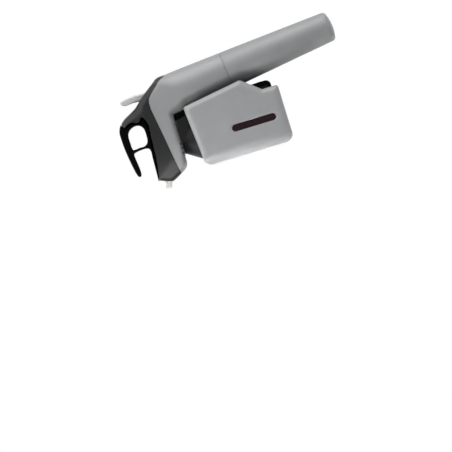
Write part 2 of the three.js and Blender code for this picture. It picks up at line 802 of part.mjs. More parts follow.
function winePipe() {
  const pour = new THREE.Vector3(-Math.cos(pourTilt), 0, Math.sin(pourTilt));
  const end = new THREE.Vector3(spoutPlace.x, 0, spoutPlace.y).addScaledVector(pour, -spoutDepth - seatGap);
  const before = end.clone().addScaledVector(pour, -winePipeRadius);
  const middle = new THREE.Vector3(end.x / 2, 0, (end.z + before.z) / 2 - winePipeRadius);
  return pipe([
    new THREE.Vector3(0, 0, manifoldTop + seatGap),
    new THREE.Vector3(0, 0, manifoldTop + winePipeRadius),
    middle, before, end,
  ], winePipeRadius, 18, 8);
}

function spoutTip() {
  const flangeTop = -spoutDepth + spoutFlangeThick;
  const profile = [
    [spoutBore, -spoutDepth], [spoutFlangeRadius, -spoutDepth], [spoutFlangeRadius, flangeTop],
    [spoutRootRadius, flangeTop], [spoutRootRadius, 0], [spoutTipRadius, spoutReach],
    [spoutBore, spoutReach],
  ];
  return solid(lathe(profile, 20).rotateY(pourTilt - Math.PI / 2).translate(spoutPlace.x, 0, spoutPlace.y));
}

function coverScrew(shares) {
  const [x, y] = screwPlace(shares);
  const low = headFloor + coverScrewSink - coverScrewHeadThick;
  const profile = [
    [0, low], [coverScrewHead, low], [coverScrewHead, low + coverScrewHeadThick - seatGap],
    [coverScrewShank, low + coverScrewHeadThick - seatGap], [coverScrewShank, coverScrewTop],
    [0, coverScrewTop],
  ];
  return solid(lathe(profile, 10).translate(x, y, 0));
}

function hookScrew(share) {
  const x = screwPlace([share, 0])[0];
  const ceiling = hookSeatAt(x) - headWall - seatGap;
  const low = ceiling - hookScrewHeadThick - seatGap;
  const top = hookSeatAt(x) + headWall - seatGap;
  const profile = [
    [0, low], [hookScrewHead, low], [hookScrewHead, ceiling - seatGap],
    [hookScrewShank, ceiling - seatGap], [hookScrewShank, top], [0, top],
  ];
  return solid(lathe(profile, 10).translate(x, 0, 0));
}

function stopPin() {
  return solid(lathe(rodProfile(stopPinRadius, -stopPinDepth, mastFlange), 12)
    .rotateY(Math.PI / 2).translate(mastFront, 0, -stopPinHeight));
}

// Clamp body: a coned block over the lip, with a spine behind the neck that guides the mast
function clampBody() {
  const cone = turned([
    [0, -blockSkirt], [blockFootRadius, -blockSkirt], [blockFootRadius, blockFootHeight],
    [blockTopRadius, blockTop], [0, blockTop],
  ], 36);
  const guide = guideShares.map(([x, z]) => new THREE.Vector2(x * guideBack, z * blockTop));
  const spine = sidePlate([
    ...guide, new THREE.Vector2(guideBack, -guideBackTop), new THREE.Vector2(guideBack, -spineBottom),
    new THREE.Vector2(spineFront, -spineBottom), new THREE.Vector2(spineFront, 0), new THREE.Vector2(0, 0),
  ], spineHalfWidth);
  const lugs = [-lugTop - lugHeight, -spineBottom].flatMap((low) => [-1, 1].map((side) => {
    const shape = new THREE.Shape();
    const from = side > 0 ? 0 : Math.PI;
    shape.absarc(jawPinX, side * jawPinY, knuckleRadius, from, from + Math.PI);
    shape.lineTo(jawPinX - side * knuckleRadius, side * (spineHalfWidth - seatGap));
    shape.lineTo(jawPinX + side * knuckleRadius, side * (spineHalfWidth - seatGap));
    return cut(
      slab(shape, low, low + lugHeight, 7),
      rod(jawPinRadius + seatGap, low - overrun, low + lugHeight + overrun, jawPinX, side * jawPinY, 12),
    );
  }));
  const lipRoom = turned(rodProfile(lipRadius, -blockSkirt - overrun, 0), 36);
  const flange = mastFront + mastFlange;
  const channelFront = box(
    mastFront - slideGap, flange + slideGap, -mastHalfWidth - slideGap, mastHalfWidth + slideGap,
    -spineBottom - overrun, blockTop + overrun,
  );
  const webHalf = mastHalfWidth - mastGrooveDepth + slideGap;
  const channelBack = box(flange, guideBack + overrun, -webHalf, webHalf, -spineBottom - overrun, blockTop);
  const channelTop = box(
    flange, guideBack + overrun, -mastHalfWidth - slideGap, mastHalfWidth + slideGap,
    lipHeight, blockTop + overrun,
  );
  const stopSlot = box(
    mastFront - stopPinDepth - slideGap, mastFront, -stopPinRadius - slideGap, stopPinRadius + slideGap,
    -stopPinHeight - stopPinRadius - slideGap, -stopPinHeight + headTravel + stopPinRadius + slideGap,
  );
  return cut(
    join(cone, spine, ...lugs), lipRoom, channelFront, channelBack, channelTop, stopSlot,
    rod(bushRadius + seatGap, -overrun, blockTop + overrun, 0, 0, 20),
    rod(bushFlangeRadius + seatGap, bushTop - bushFlangeThick - seatGap, blockTop + overrun, 0, 0, 20),
  );
}

function needleBush() {
  const flangeLow = bushTop - bushFlangeThick;
  return turned([
    [needleRadius + slideGap, bushFoot], [bushRadius, bushFoot], [bushRadius, flangeLow],
    [bushFlangeRadius, flangeLow], [bushFlangeRadius, bushTop], [needleRadius + slideGap, bushTop],
  ], 20);
}

function stadium(halfWidth) {
  const shape = new THREE.Shape();
  shape.absarc(windowX, -windowTop - windowHalfWidth, halfWidth, 0, Math.PI);
  shape.absarc(windowX, -windowBottom + windowHalfWidth, halfWidth, Math.PI, 2 * Math.PI);
  return shape;
}

// Right jaw, at +Y: the left one is its mirror image
const plateInside = plateOutside - plateThick;
const windowSight = sidePlate(
  stadium(windowHalfWidth - windowLedge), plateOutside - padRadius / 2, plateOutside, 5,
);

function jawPlate() {
  const bend = plateFront - plateNoseRound;
  const insideRound = plateNoseRound - plateThick;
  const section = new THREE.Shape();
  section.moveTo(plateBackLow + overrun, plateOutside);
  section.absarc(-bend, plateOutside - plateNoseRound, plateNoseRound, Math.PI / 2, Math.PI);
  section.lineTo(-plateFront, plateGapHalf);
  section.lineTo(-plateFront + plateThick, plateGapHalf);
  section.absarc(-bend, plateOutside - plateNoseRound, insideRound, Math.PI, Math.PI / 2, true);
  section.lineTo(plateBackLow + overrun, plateInside);
  const side = rounded(vectors([
    [-plateFront, plateTopFront], [plateBackTop, plateTopBack], [plateBackLow, -plateBackLowDrop],
    [plateNotchX, -plateNotchDrop], [plateNotchX, -plateBottom], [-plateFront, -plateBottom],
  ]), [
    plateTopFrontRound, plateTopBackRound, plateBackLowRound, plateNotchRound, plateHeelRound, plateToeRound,
  ]);
  const tall = slab(section, -plateBottom - overrun, plateTopBack + overrun, 8);
  const window = sidePlate(stadium(windowHalfWidth), plateThick, plateOutside, 5);
  return cut(common(tall, sidePlate(side, plateOutside + overrun)), window);
}

function jawCore() {
  const outside = plateInside - seatGap;
  const front = plateFront - plateThick - seatGap;
  const round = plateNoseRound - plateThick - seatGap;
  const neckEdge = Math.sqrt(coreRadius ** 2 - coreFrontHalf ** 2);
  const inside = spineHalfWidth + coreSpineGap;
  const section = new THREE.Shape();
  section.moveTo(coreFlangeBack, outside);
  section.absarc(-front + round, outside - round, round, Math.PI / 2, Math.PI);
  section.lineTo(-front, coreFrontHalf);
  section.lineTo(-neckEdge, coreFrontHalf);
  const coreFrontAngle = Math.atan2(coreFrontHalf, -neckEdge);
  section.absarc(0, 0, coreRadius, coreFrontAngle, Math.asin(inside / coreRadius), true);
  section.lineTo(coreSpineEdge, inside);
  section.lineTo(coreSpineEdge, coreFlangeInside);
  section.lineTo(coreFlangeBack, coreFlangeInside);
  const coreTop = -lugTop - lugHeight - seatGap;
  const block = cut(
    slab(section, -coreBottom, coreTop, 10),
    rod(knuckleRadius + 2 * seatGap, -coreBottom - overrun, coreTop + overrun, jawPinX, jawPinY, 20),
  );
  const lowKnuckle = -spineBottom + lugHeight + seatGap;
  const knuckles = [coreTop - knuckleHeight, lowKnuckle].map((low) => join(
    rod(knuckleRadius, low, low + knuckleHeight, jawPinX, jawPinY, 16),
    box(coreSpineEdge - seatGap, jawPinX, jawPinY, coreFlangeInside + 2 * seatGap, low, low + knuckleHeight),
  ));
  return cut(
    join(block, ...knuckles), windowSight,
    rod(jawPinRadius + slideGap, -coreBottom - overrun, coreTop + overrun, jawPinX, jawPinY, 12),
  );
}

function neckPad() {
  const section = new THREE.Shape();
  section.absarc(0, 0, padRadius, padBackAngle, padFrontAngle);
  section.absarc(0, 0, coreRadius - seatGap, padFrontAngle, padBackAngle, true);
  const pad = slab(section, -padBottom, -lugTop - lugHeight - seatGap, 10);
  return cut(pad, windowSight);
}

function windowPane() {
  const low = plateInside;
  return sidePlate(stadium(windowHalfWidth - seatGap), windowThick / 2, low + windowThick / 2, 5);
}

function jawSpring() {
  const low = -spineBottom + lugHeight + knuckleHeight + 2 * seatGap + springWire;
  const high = -lugTop - lugHeight - knuckleHeight - 2 * seatGap - springWire;
  const winding = new Winding(springRadius, low, high, springTurns, springLegSide, springLegFlange);
  return solid(coil(winding, springWire).translate(jawPinX, jawPinY, 0));
}

function jawPin() {
  return rod(jawPinRadius, -jawPinBottom, -jawPinTop, jawPinX, jawPinY, 12);
}

// Pieces turned on the tube's axis, in the tube's own frame
function threadCollar() {
  const socket = capsuleNeckRadius + slideGap;
  const sealSeat = -capsuleTipDrop + seatGap;
  const plug = regulatorChamberRadius - seatGap;
  const flangeTop = collarFlange;
  return turned([
    [piercingRadius + seatGap, sealSeat + sealThick + seatGap],
    [sealRadius + seatGap, sealSeat + sealThick + seatGap], [sealRadius + seatGap, sealSeat - seatGap],
    [socket, sealSeat - seatGap], [socket, -inletReach], [inletRadius, -inletReach],
    [inletRadius, -collarReach], [collarRadius, -collarReach], [collarRadius, 0],
    [sleeveBore - seatGap, seatGap], [sleeveBore - seatGap, flangeTop], [plug, flangeTop],
    [plug, flangeTop + pistonThick / 2], [piercingRadius + seatGap, flangeTop + pistonThick / 2],
  ], 24);
}

function regulatorBody() {
  const low = collarFlange + seatGap;
  return turned([
    [regulatorChamberRadius, low], [sleeveBore - seatGap, low], [sleeveBore - seatGap, regulatorTop],
    [regulatorNeckRadius, regulatorTop], [regulatorNeckRadius, regulatorNeckTop],
    [stemRadius + slideGap, regulatorNeckTop], [stemRadius + slideGap, regulatorChamberTop],
    [regulatorChamberRadius, regulatorChamberTop],
  ], 24);
}

function regulatorPiston() {
  return turned(rodProfile(regulatorChamberRadius - slideGap, pistonLow, pistonLow + pistonThick), 24);
}

function regulatorSpring() {
  const low = pistonLow + pistonThick + seatGap + regulatorWire;
  const high = regulatorChamberTop - seatGap - regulatorWire;
  return solid(coil(new Winding(regulatorSpringRadius, low, high, regulatorSpringTurns), regulatorWire));
}

function piercingPin() {
  const tip = -capsuleTipDrop - piercingReach;
  return turned([
    [0, tip], [piercingRadius, tip + 2 * piercingRadius], [piercingRadius, tip + piercingLength],
    [0, tip + piercingLength],
  ], 12);
}

function capsuleSeal() {
  const low = -capsuleTipDrop + seatGap;
  return turned([
    [sealBore, low], [sealRadius, low], [sealRadius, low + sealThick], [sealBore, low + sealThick],
  ], 16);
}

function valveStem() {
  return turned([
    [0, stemTop - stemLength], [stemRadius, stemTop - stemLength], [stemRadius, stemTop - stemButtonThick],
    [stemButtonRadius, stemTop - stemButtonThick], [stemButtonRadius, stemTop], [0, stemTop],
  ], 14);
}

function valveSpring() {
  const low = regulatorNeckTop + seatGap + valveWire;
  const high = stemTop - stemButtonThick - seatGap - valveWire;
  return solid(coil(new Winding(stemButtonRadius - valveWire, low, high, valveSpringTurns), valveWire));
}

function gasCapsule() {
  const tip = -capsuleTipDrop;
  const neckLow = tip - capsuleNeckLength;
  const bottom = tip - capsuleLength;
  const inner = capsuleRadius - capsuleWall;
  const shoulder = (radius, high) => shoulderShares.map(([r, z]) => [r * radius, high - z * radius]);
  const foot = (radius, low) => footShares.map(([r, z]) => [r * radius, low + z * radius]);
  return turned([
    ...foot(capsuleRadius, bottom),
    ...shoulder(capsuleRadius, neckLow).reverse(),
    [capsuleNeckRadius, neckLow], [capsuleNeckRadius, tip], [capsulePierceRadius, tip],
    [capsulePierceRadius, neckLow - capsuleWall],
    ...shoulder(inner, neckLow - capsuleWall),
    ...foot(inner, bottom + capsuleWall).reverse(),
  ], 24);
}

function capsuleCushion() {
  const low = -cupLength + cupWall + seatGap;
  return turned(rodProfile(cushionRadius, low, low + cushionThick - seatGap), 20);
}

function capsuleCup() {
  const end = -cupLength;
  const edge = end + cupDome;
  const rim = Array.from({ length: cupEndSteps + 1 }, (_, i) => {
    const angle = (i / cupEndSteps) * Math.PI / 2;
    return [
      cupEndRadius - cupEndRound + cupEndRound * Math.sin(angle),
      edge + cupEndRound - cupEndRound * Math.cos(angle),
    ];
  });
  return turned([
    [0, end], ...rim, [seamRadius, -seamGap], [cupThreadBore, -seamGap],
    [cupThreadBore, -cupThreadDepth], [cupThreadBore - 2 * seatGap, -cupThreadDepth - cupWall],
    [cupEndRadius - cupWall, end + cupWall + cupEndRound],
    [cushionRadius + seatGap, end + cupWall + seatGap], [0, end + cupWall],
  ], 40);
}

const dispenser = new THREE.Group();

const clamp = new THREE.Group();
clamp.add(
  piece('clamp_body', clampBody(), blockBlack),
  piece('needle_bush', needleBush(), silver),
);
const jawPieces = {
  jaw_plate: [jawPlate(), lightGrey],
  jaw_core: [jawCore(), black],
  neck_pad: [neckPad(), rubber],
  window_pane: [windowPane(), smoked],
  jaw_spring: [jawSpring(), steel],
  jaw_pin: [jawPin(), steel],
};
for (const [name, [shape, finish]] of Object.entries(jawPieces)) {
  clamp.add(piece(`${name}_right`, shape, finish));
  clamp.add(piece(`${name}_left`, mirrored(shape), finish));
}

const head = new THREE.Group();
head.add(
  piece('head_shell', headShell(), lightGrey),
  piece('top_cover', topCover(), darkGrey),
  piece('hook_handle', hookShape(), black),
  piece('mast', mastShape(), black),
  piece('mast_stop_pin', stopPin(), steel),
  piece('needle', needleShape(), steel),
  piece('needle_collar', needleCollar(), black),
  piece('flow_manifold', flowManifold(), brass),
  piece('gas_pipe', gasPipe(), steel),
  piece('wine_pipe', winePipe(), clear),
  piece('spout_tip', spoutTip(), clear),
  piece('trigger_lever', leverShape(), silver),
  piece('trigger_pin', crossRod(leverPinRadius, leverPivot, leverPinHalfLength), steel),
);
mastPinHeights.forEach((height, i) => {
  const place = new THREE.Vector2(mastPinX, height);
  const pin = crossRod(mastPinRadius, place, mastHalfWidth + slideGap + mastBossWall);
  head.add(piece(`mast_pin_${i + 1}`, pin, steel));
});
for (const [name, shares] of Object.entries(coverScrewShares)) {
  head.add(piece(`cover_screw_${name}`, coverScrew(shares), steel));
}
for (const [name, share] of Object.entries(hookScrewShares)) {
  head.add(piece(`hook_screw_${name}`, hookScrew(share), steel));
}

const tube = new THREE.Group();
tube.position.set(tubeOffset, 0, -seamDrop);
tube.rotation.y = -tubeLean;
tube.add(
  piece('thread_collar', threadCollar(), steel),
  piece('regulator_body', regulatorBody(), brass),
  piece('regulator_piston', regulatorPiston(), brass),
  piece('regulator_spring', regulatorSpring(), steel),
  piece('piercing_pin', piercingPin(), steel),
  piece('capsule_seal', capsuleSeal(), rubber),
  piece('valve_stem', valveStem(), steel),
  piece('valve_spring', valveSpring(), steel),
  piece('gas_capsule', gasCapsule(), steel),
  piece('capsule_cushion', capsuleCushion(), rubber),
  piece('capsule_cup', capsuleCup(), lightGrey),
);

dispenser.add(clamp, head, tube);

export default dispenser;
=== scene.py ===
# A handheld wine preservation dispenser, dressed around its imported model: moulded head and cover, hook
# handle, thumb lever, capsule cup, squeeze clamp with its sight window, and the turned and wound pieces
# inside. The helpers work in millimetres, and every mesh is turned to metres as it is made.

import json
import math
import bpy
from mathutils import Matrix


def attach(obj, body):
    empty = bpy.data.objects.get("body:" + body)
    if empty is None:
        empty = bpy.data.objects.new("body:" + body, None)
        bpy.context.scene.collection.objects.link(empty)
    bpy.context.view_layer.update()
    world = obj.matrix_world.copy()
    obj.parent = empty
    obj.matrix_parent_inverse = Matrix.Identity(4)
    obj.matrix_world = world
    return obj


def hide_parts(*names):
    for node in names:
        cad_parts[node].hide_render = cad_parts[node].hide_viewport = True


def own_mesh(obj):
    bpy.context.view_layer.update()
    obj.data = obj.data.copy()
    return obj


bl_info = {
    "name": "Wine Preservation Dispenser",
    "version": (1, 0, 0),
    "blender": (4, 5, 0),
    "location": "3D View > Sidebar > Dispenser",
    "description": "Builds the visible pieces, the finishes and the studio of a wine preservation dispenser",
    "category": "Object",
}

import bmesh
import bpy
import numpy as np
from mathutils import Matrix, Vector
from mathutils.geometry import delaunay_2d_cdt

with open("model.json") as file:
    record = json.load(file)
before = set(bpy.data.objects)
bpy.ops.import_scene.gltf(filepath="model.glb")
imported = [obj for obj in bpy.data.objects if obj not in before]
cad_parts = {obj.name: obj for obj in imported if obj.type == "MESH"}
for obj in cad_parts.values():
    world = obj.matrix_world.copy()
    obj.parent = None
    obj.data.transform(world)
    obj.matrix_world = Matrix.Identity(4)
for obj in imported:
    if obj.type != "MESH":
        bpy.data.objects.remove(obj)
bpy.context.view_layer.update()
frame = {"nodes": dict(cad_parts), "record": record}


MM = 0.001
SEAT_GAP = 0.3

# The tube's axis leans back from the mast; t counts up it from the seam, e across it towards the back
TUBE_X = 52.0
SEAM_Z = -37.8
LEAN = math.radians(6.35)
SEAM_RADIUS = 17.5
SLEEVE_RADIUS = 18.8
SLEEVE_BORE = 15.2
BORE_TOP = 46.3
CUP_LENGTH = 106.5
CUP_END_RADIUS = 14.0
CUP_END_ROUND = 4.2

# Head, seen from the side in x and z
ARM_HALF = 17.6
ARM_BACK = 35.0
NOSE_DRAW = 7.6
NOSE_REACH = 66.0
NOSE_CURVE = 2.2
NOSE_CREASE = -12.6, 32.8
NOSE_FACING = -0.768, -0.641
NOSE_SLOPE = 0.14
HEAD_WALL = 2.3
HEAD_EDGE_PLACES = -31, -8, 26, 36
HEAD_EDGE_SHARES = 0.67, 1, 1, 1.7
LOW_EDGE = 5.5
LOW_EDGE_TOP = 28
ARCH_LOW = 38
ROUND_FADE = 44, 70
SEAT_EDGE = 0.4
SMALL_ROUND = 4.5
LARGE_ROUND = 18.5
# Heights, and the most half width that the head has there
VISOR = [(0.0, 18.6), (40.0, 18.6), (45.8, 17.6), (53.1, 15.0), (61.1, 12.6), (72.7, 11.4)]
HEAD_OUTLINE = [
    (27.1, 19.6), (24.8, 20.2), (21.0, 20.2), (10.0, 20.2), (-10.8, 20.2), (-12.6, 20.8), (-15.3, 20.8),
    (-19.6, 21.3), (-22.6, 23.0), (-25.9, 27.8), (-30.7, 37.2), (-30.9, 39.4), (-27.0, 49.8, 1),
    (-21.0, 48.9), (-13.0, 47.6), (-3.5, 46.6), (12.9, 45.6), (24.3, 44.7), (29.8, 46.3), (33.1, 48.3),
    (33.0, 49.8), (30.7, 51.2), (29.4, 52.9), (30.2, 55.7), (31.1, 59.2), (30.4, 63.0), (28.2, 66.9, 1),
    (32.5, 68.8, 1), (34.5, 66.8), (36.6, 64.0), (39.5, 58.4), (42.6, 52.6), (47.6, 46.8), (52.2, 41.7),
    (55.6, 37.0), (59.5, 31.5), (63.0, 26.8), (64.3, 23.2), (64.7, 18.0),
]
# The first and last point of that outline along which the hook handle sits
HOOK_SIDE = 12, 28

# Screws: the cover's from under the arm's floor, the hook handle's from inside the cover
COVER_SCREWS = [(-8.5, -7.5), (-8.5, 7.5), (13.0, -9.8)]
HOOK_SCREWS = [(-4.0, 0.0, 42.4), (16.0, 0.0, 41.0)]
COVER_SCREW_LOW = 22.7
SCREW_SEAT_RADIUS = 2.7
SCREW_SEAT_TOP = 23.6

# The arm's floor: notches in its edges, its rib, and the radius and top of the collar's hole and seat
FLOOR_LOW = 18
FLOOR_NOTCHES = [(-10.0, -7.9), (-5.3, -3.1), (-1.5, 0.7)]
NOTCH_INNER = 7.6
NOTCH_TOP = 22.6
FLOOR_RIB = -3.7, 19.7, -8.7, 8.7, 19.5, 24.0
COLLAR_HOLE = 4.3, 27
COLLAR_SEAT = 6.3, 22.6

# More of the head: valve neck, spigot, mast, parting line, hollow, lever, hook handle and spout
VALVE_NECK_HOLE = 5.3
SPIGOT = [(SLEEVE_BORE, -1.4), (16.6, -1.4), (16.6, 2.0), (SLEEVE_BORE, 2.0)]
MAST_ROOM = [(21.6, 34.8), (29.75, 34.8), (33.4, -60), (21.6, -60)]
MAST_ROOM_HALF = 8.3
PARTING = [
    (90.0, 14.0), (67.0, 16.0), (63.1, 19.1), (61.2, 22.8), (57.6, 27.1), (51.5, 33.8), (47.3, 37.5),
    (44.0, 38.4), (37.6, 38.3), (27.5, 36.8), (14.1, 34.8), (-0.1, 32.8), (-14.3, 30.8), (-22.7, 29.3),
    (-26.0, 28.5), (-45.0, 25.7),
]
# The lip along that line and its room: how far below and above the line, and how deep under the surface
LIP = -1.2, 0.8, 1.3
LIP_ROOM = -2.0, 0.95, 1.15
HOLLOW_FLOOR = 22.6
HEAD_HOLLOW = [
    (-27.2, 38.4), (-23.4, 30.5), (-21.0, 26.3), (-19.0, 25.0), (31.0, 25.0), (33.5, 14.5), (58.4, 14.5),
    (59.4, 24.5), (54.0, 32.0), (48.0, 40.5), (41.5, 47.5), (37.0, 47.5), (30.5, 43.6), (24.3, 41.8),
    (12.9, 42.6), (-3.5, 43.4), (-13.0, 44.4), (-23.2, 46.0),
]
LEVER_SLOT = [
    (55.1, 25.4), (55.1, 37.6), (60.0, 41.0), (62.0, 60.0), (46.5, 60.0), (42.3, 52.9), (43.0, 46.0),
    (43.0, 25.4),
]
LEVER_SLOT_HALF = 6.9
HOOK_OUTLINE = [
    (32.3, 69.1, 1), (30.7, 70.4), (28.2, 71.7), (24.8, 72.6), (19.9, 72.7), (11.7, 72.4), (2.8, 71.5),
    (-8.1, 69.9), (-15.2, 68.5), (-18.1, 67.2), (-18.6, 65.6), (-17.2, 64.4), (-14.7, 64.0), (-7.8, 64.4),
    (-2.0, 65.1), (3.2, 65.1), (4.1, 63.2), (4.8, 58.6), (4.9, 53.7), (4.0, 50.9), (1.2, 49.7),
    (-4.8, 50.0), (-14.0, 50.4), (-27.0, 51.0, 1), (-27.0, 50.1, 1), (-21.0, 49.2), (-13.0, 47.9),
    (-3.5, 46.9), (12.9, 45.9), (24.3, 45.0), (29.6, 46.6), (32.8, 48.5), (32.7, 49.6), (30.4, 51.0),
    (29.1, 52.9), (29.9, 55.8), (30.8, 59.2), (30.1, 62.9), (27.9, 67.2, 1),
]
FINGER_HOLE = [
    (6.9, 64.6), (9.2, 65.5), (14.1, 65.6), (19.0, 65.7), (22.4, 64.9), (25.4, 62.5), (27.2, 58.5),
    (27.3, 54.8), (26.1, 52.3), (23.2, 50.2), (19.3, 49.5), (14.4, 49.6), (11.5, 49.9), (8.8, 51.2),
    (7.2, 53.9), (7.1, 58.6),
]
HOOK_SEAM = [
    (-25.6, 49.8), (-21.0, 49.05), (-13.0, 47.75), (-3.5, 46.75), (12.9, 45.75), (24.3, 44.85),
    (29.7, 46.45), (32.95, 48.4), (32.85, 49.7), (30.55, 51.1), (29.25, 52.9), (30.05, 55.75),
    (30.95, 59.2), (30.25, 62.9), (28.5, 66.2), (31.2, 68.1),
]
HOOK_WIDTH = [(-30.9, 6.0), (0.0, 10.4), (60.0, 10.4)]
TONGUE_HALF = 5.4
TONGUE_REACH = 0.9
MAST_CORNERS = [
    (21.9, 34.5, 0.5), (29.4, 34.5, 0.5), (33.0, -64.0, 6.0), (32.6, -73.8, 4.6), (21.9, -73.8, 1.0),
]
MAST_HALF = 8.0
MAST_EDGE = 0.8
MAST_ROOT = [(23, 24), (20.4, 24), (20.4, 20.2), (21.25, 19.8), (22.0, 16.4), (23, 16.4)]
MAST_ROOT_HALF = 7.9
MAST_GROOVE = 25.0, 28.2
MAST_PINS = [(25.65, 27.0), (25.65, 32.2)]
MAST_PIN_HALF = 10.5
STOP_PIN_Z = -68
LEVER_OUTLINE = [
    (54.6, 29.6), (54.2, 41.2), (54.5, 50.7), (53.7, 57.7), (52.7, 62.4), (51.2, 64.2), (49.0, 63.0),
    (47.8, 59.5), (48.4, 53.5), (48.1, 47.3), (48.1, 40.0), (48.3, 29.6),
]
LEVER_HALF = 6.2
LEVER_EDGE = 1.4
LEVER_PIVOT = (51.4586, 28.5472)
LEVER_PIN_HALF = 11.5
LEVER_BOSS = 3.3
LEVER_NOSE = (44.82, 26.70)
LEVER_NOSE_ROUND = 2.0
LEVER_NOSE_HALF = 3.0
LEVER_ARM_HALF = 1.5
PIN_HOLE = 1.8
PIN_RADIUS = 1.5
SPOUT_PLACE = (-29.6, 41.9)
SPOUT_TILT = math.radians(17)
SPOUT_HOLE = 3.4
SPOUT_ROOT = -6.4

# Clamp: the jaws' plates seen from the side, and the sizes of what they hold
PLATE_OUT = 28.0
PLATE_THICK = 2.6
PLATE_FRONT = 26.9
PLATE_GAP = 5.0
PLATE_BEND = 9.5
PLATE_FRONT_EDGE = 1.0
PLATE_CORNERS = [
    (-26.9, 4.9, 8.0), (30.7, 9.8, 2.5), (39.5, -47.0, 4.0), (25.5, -64.5, 2.0), (25.5, -79.4, 2.5),
    (-26.9, -79.4, 7.0),
]
WINDOW_X = -1.5
WINDOW_HIGH = -27.5
WINDOW_LOW = -69.5
WINDOW_HALF = 3.2
PANE_Y = 26.1
PANE_HALF = 0.9
PANE_EDGE = 0.6
RIB_ROOM = -4, 20, -9, 9, 19.2, 24
STOP_ROOM = 17.5, 24, -1.7, 1.7, -9, -2.2
PAD_RADIUS = 15.4
PAD_HIGH = -10.3
PAD_LOW = -70.0
# Where the pad's ribs start and how far they sweep, in degrees, above the window and beside it
RIBS_ABOVE = [(56.5, 103)]
RIBS_BESIDE = [(56.5, 25), (110, 49.5)]
RIB_ROUND = 0.28
JAW_PIN_X = 21.0
JAW_PIN_Y = 17.0
SPRING_ENDS = -52.9, -21.4

# Turned profiles, each a list of radius and height
SPOUT_PROFILE = [
    (1.5, SPOUT_ROOT), (4.0, SPOUT_ROOT), (4.0, -4.6), (3.1, -4.6), (3.25, 0), (3.0, 5.8), (2.9, 6.4),
    (2.65, 6.8), (1.8, 6.8), (1.5, 6.5),
]
RING_PROFILE = [(16.2, -6), (20.32, -6), (20.32, 4.2), (10.02, 20), (6.3, 20), (6.3, 0.4), (16.2, 0.4)]
NEEDLE_PROFILE = [(0, -55), (0.12, -54.8), (1.0, -50), (1.0, 29.6), (0.6, 29.6), (0.6, -45), (0, -45)]
BUSH_PROFILE = [
    (1.3, 1.4), (1.7, 1.0), (3.4, 1.0), (3.6, 1.2), (3.6, 18.9), (5.3, 18.9), (5.5, 19.1), (5.5, 19.9),
    (5.3, 20.1), (1.9, 20.1), (1.3, 19.5),
]
COLLAR_PROFILE = [
    (1.3, 20.4), (5.7, 20.4), (6.0, 20.7), (6.0, 21.9), (5.7, 22.2), (4.0, 22.2), (4.0, 25), (1.3, 25),
]

# Stage: the photograph's roll, and the frame that its camera takes in
ROLL_COS = 0.9563
ROLL_SIN = 0.2924
UP = Vector((ROLL_COS, 0, -ROLL_SIN))
LEFT = Vector((ROLL_SIN, 0, ROLL_COS))
VIEW = Vector((0, -1, 0))
FRAME_PIXELS = 452
PIXEL = 0.92
FRAME_CENTRE = Vector((-84.7, 0, 3.8)) * MM
CAMERA_AWAY = 5.0
PAPER_Z = -300
PAPER_HALF = 4000
WHITE = "#ffffff"


def chosen(size):
    """A size from the sidebar, in millimetres."""
    return getattr(bpy.context.scene.dispenser_sizes, size) / MM


def put(name, data):
    """A new object in the scene, at the origin."""
    thing = bpy.data.objects.new(name, data)
    bpy.context.scene.collection.objects.link(thing)
    return thing


def tipped(x, z, angle=math.pi / 2, axis="Y"):
    """A place in the side view whose own z axis is tipped over."""
    return Matrix.Translation((x, 0, z)) @ Matrix.Rotation(angle, 4, axis)


IN_TUBE = tipped(TUBE_X, SEAM_Z, -LEAN)
IN_SPOUT = tipped(*SPOUT_PLACE, SPOUT_TILT - math.pi / 2)


# Finishes


# A finish's clouds in millimetres, and the noise values between which its colour and roughness swing
CLOUD = 14.0
RAMP = 0.3, 0.7


def linear(hex_colour):
    """An sRGB hex colour as the linear colour that a shader wants."""
    values = [int(hex_colour[i : i + 2], 16) / 255 for i in (1, 3, 5)]
    return [v / 12.92 if v <= 0.04045 else ((v + 0.055) / 1.055) ** 2.4 for v in values] + [1.0]


def add(tree, kind, inputs=None, **settings):
    """Adds a node with its settings; an input takes a value or another node's output."""
    made = tree.nodes.new(kind)
    for key, value in settings.items():
        setattr(made, key, value)
    for socket, value in (inputs or {}).items():
        if isinstance(value, bpy.types.NodeSocket):
            tree.links.new(value, made.inputs[socket])
        else:
            made.inputs[socket].default_value = value
    return made


def bare_tree(owner):
    """The emptied node tree of a material or a world."""
    owner.use_nodes = True
    owner.node_tree.nodes.clear()
    return owner.node_tree


